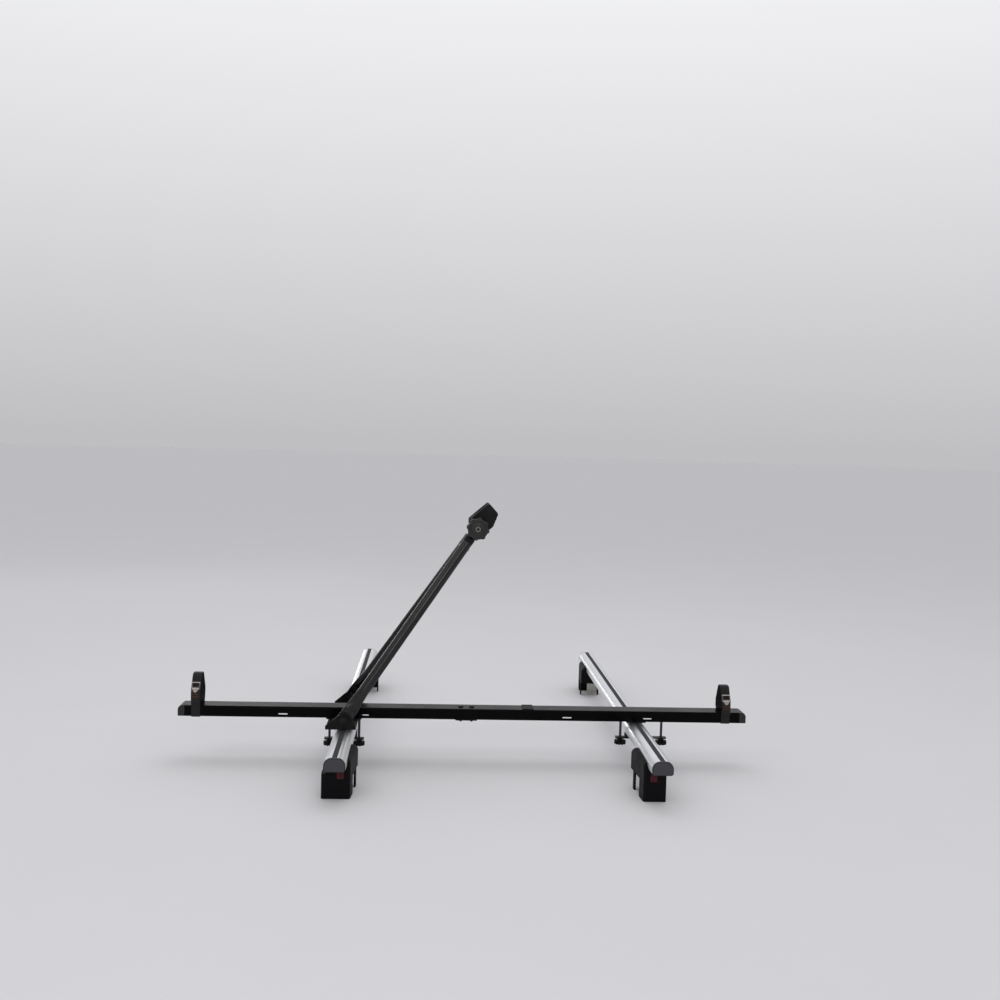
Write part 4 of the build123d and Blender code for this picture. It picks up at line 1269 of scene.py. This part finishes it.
# Soft boxes: name, place and aim in metres, size in metres, power in watts and spread in degrees
STUDIO_LIGHTS = (
    ("key_light", (-2.6, -2.4, 3.4), (0.0, -0.1, 0.3), (1.8, 1.8), 14.0, 180.0),
    ("fill_light", (3.2, -2.6, 1.8), (0.0, -0.1, 0.3), (2.4, 2.4), 3.0, 180.0),
    ("front_light", (0.0, -4.6, 1.7), (-0.1, -0.3, 0.3), (2.6, 1.1), 26.0, 180.0),
    ("top_light", (0.3, 0.6, 3.6), (0.0, -0.1, 0.3), (2.6, 2.6), 16.0, 180.0),
    ("left_panel", (-1.9, 4.2, 0.4), (-0.25, -0.3, 0.2), (2.2, 0.5), 0.7, 45.0),
)


class CARRIER_OT_studio(bpy.types.Operator):
    """Lay the pale floor, light it softly and set the camera at the photograph's viewing angle"""

    bl_idname = "carrier.studio"
    bl_label = "Studio"

    def execute(self, context):
        scene = context.scene
        studio = scene.carrier_studio

        disc = bmesh.new()
        bmesh.ops.create_circle(disc, cap_ends=True, segments=128, radius=studio.floor_radius)
        floor_mesh = bpy.data.meshes.new("studio_floor")
        disc.to_mesh(floor_mesh)
        disc.free()
        floor_mesh.materials.append(painted_floor())
        floor = bpy.data.objects.new("studio_floor", floor_mesh)
        scene.collection.objects.link(floor)

        world = bpy.data.worlds.new("studio_world")
        world.use_nodes = True
        tree = world.node_tree
        height = add_node(
            tree,
            "ShaderNodeSeparateXYZ",
            {"Vector": add_node(tree, "ShaderNodeTexCoord").outputs["Generated"]},
        )
        rise = add_node(
            tree,
            "ShaderNodeMapRange",
            {
                "Value": height.outputs["Z"],
                "From Min": 0.0,
                "From Max": 0.8,
                "To Min": 1.0,
                "To Max": SKY_ABOVE,
            },
        )
        front = add_node(
            tree,
            "ShaderNodeMapRange",
            {
                "Value": height.outputs["Y"],
                "From Min": -0.3,
                "From Max": 0.85,
                "To Min": SKY_FRONT,
                "To Max": 1.0,
            },
        )
        strength = add_node(
            tree,
            "ShaderNodeMath",
            {0: rise.outputs["Result"], 1: front.outputs["Result"]},
            operation="MULTIPLY",
        )
        background = tree.nodes["Background"]
        background.inputs["Color"].default_value = srgb("#BFBFC1")
        tree.links.new(strength.outputs["Value"], background.inputs["Strength"])
        scene.world = world

        for name, place, aim, size, energy, spread in STUDIO_LIGHTS:
            light = bpy.data.lights.new(name, "AREA")
            light.shape = "RECTANGLE"
            light.size, light.size_y = size
            light.energy = energy
            light.spread = math.radians(spread)
            lamp = bpy.data.objects.new(name, light)
            lamp.location = place
            lamp.rotation_mode = "QUATERNION"
            lamp.rotation_quaternion = (Vector(aim) - Vector(place)).to_track_quat("-Z", "Y")
            lamp.visible_camera = False
            scene.collection.objects.link(lamp)

        lens = bpy.data.cameras.new("studio_camera")
        lens.lens = studio.lens
        lens.clip_end = 200.0
        camera = bpy.data.objects.new("studio_camera", lens)
        camera.location = studio.place
        camera.rotation_mode = "QUATERNION"
        camera.rotation_quaternion = (
            Quaternion((0, 0, 1), -studio.pan)
            @ Quaternion((1, 0, 0), math.radians(90) - studio.tilt)
            @ Quaternion((0, 0, 1), studio.roll)
        )
        scene.collection.objects.link(camera)
        scene.camera = camera
        scene.view_settings.view_transform = "Standard"
        return {"FINISHED"}


PIECE_OPERATORS = (
    CARRIER_OT_crossbars,
    CARRIER_OT_rail,
    CARRIER_OT_arm,
    CARRIER_OT_head,
    CARRIER_OT_clamps,
    CARRIER_OT_feet,
    CARRIER_OT_straps,
    CARRIER_OT_studio,
)


class CARRIER_PT_sidebar(bpy.types.Panel):
    """Sizes, colours and the steps that dress the carrier"""

    bl_idname = "CARRIER_PT_sidebar"
    bl_label = "Roof Bike Carrier"
    bl_space_type = "VIEW_3D"
    bl_region_type = "UI"
    bl_category = "Carrier"

    def draw(self, context):
        column = self.layout.column()
        for group in (
            context.scene.carrier_sizes,
            context.scene.carrier_colours,
            context.scene.carrier_studio,
        ):
            for name in group.__annotations__:
                column.prop(group, name)
        for operator in PIECE_OPERATORS:
            column.operator(operator.bl_idname)


SETTINGS = {
    "carrier_sizes": CarrierSizes,
    "carrier_colours": CarrierColours,
    "carrier_studio": CarrierStudio,
}


def register():
    for group in SETTINGS.values():
        bpy.utils.register_class(group)
    for operator in PIECE_OPERATORS:
        bpy.utils.register_class(operator)
    bpy.utils.register_class(CARRIER_PT_sidebar)
    for name, group in SETTINGS.items():
        setattr(bpy.types.Scene, name, bpy.props.PointerProperty(type=group))


def unregister():
    for name in SETTINGS:
        delattr(bpy.types.Scene, name)
    bpy.utils.unregister_class(CARRIER_PT_sidebar)
    for operator in reversed(PIECE_OPERATORS):
        bpy.utils.unregister_class(operator)
    for group in reversed(SETTINGS.values()):
        bpy.utils.unregister_class(group)


def main():
    register()
    bpy.ops.carrier.crossbars()
    bpy.ops.carrier.rail()
    bpy.ops.carrier.arm()
    bpy.ops.carrier.head()
    bpy.ops.carrier.clamps()
    bpy.ops.carrier.feet()
    bpy.ops.carrier.straps()
    bpy.ops.carrier.studio()


if __name__ == "__main__":
    main()
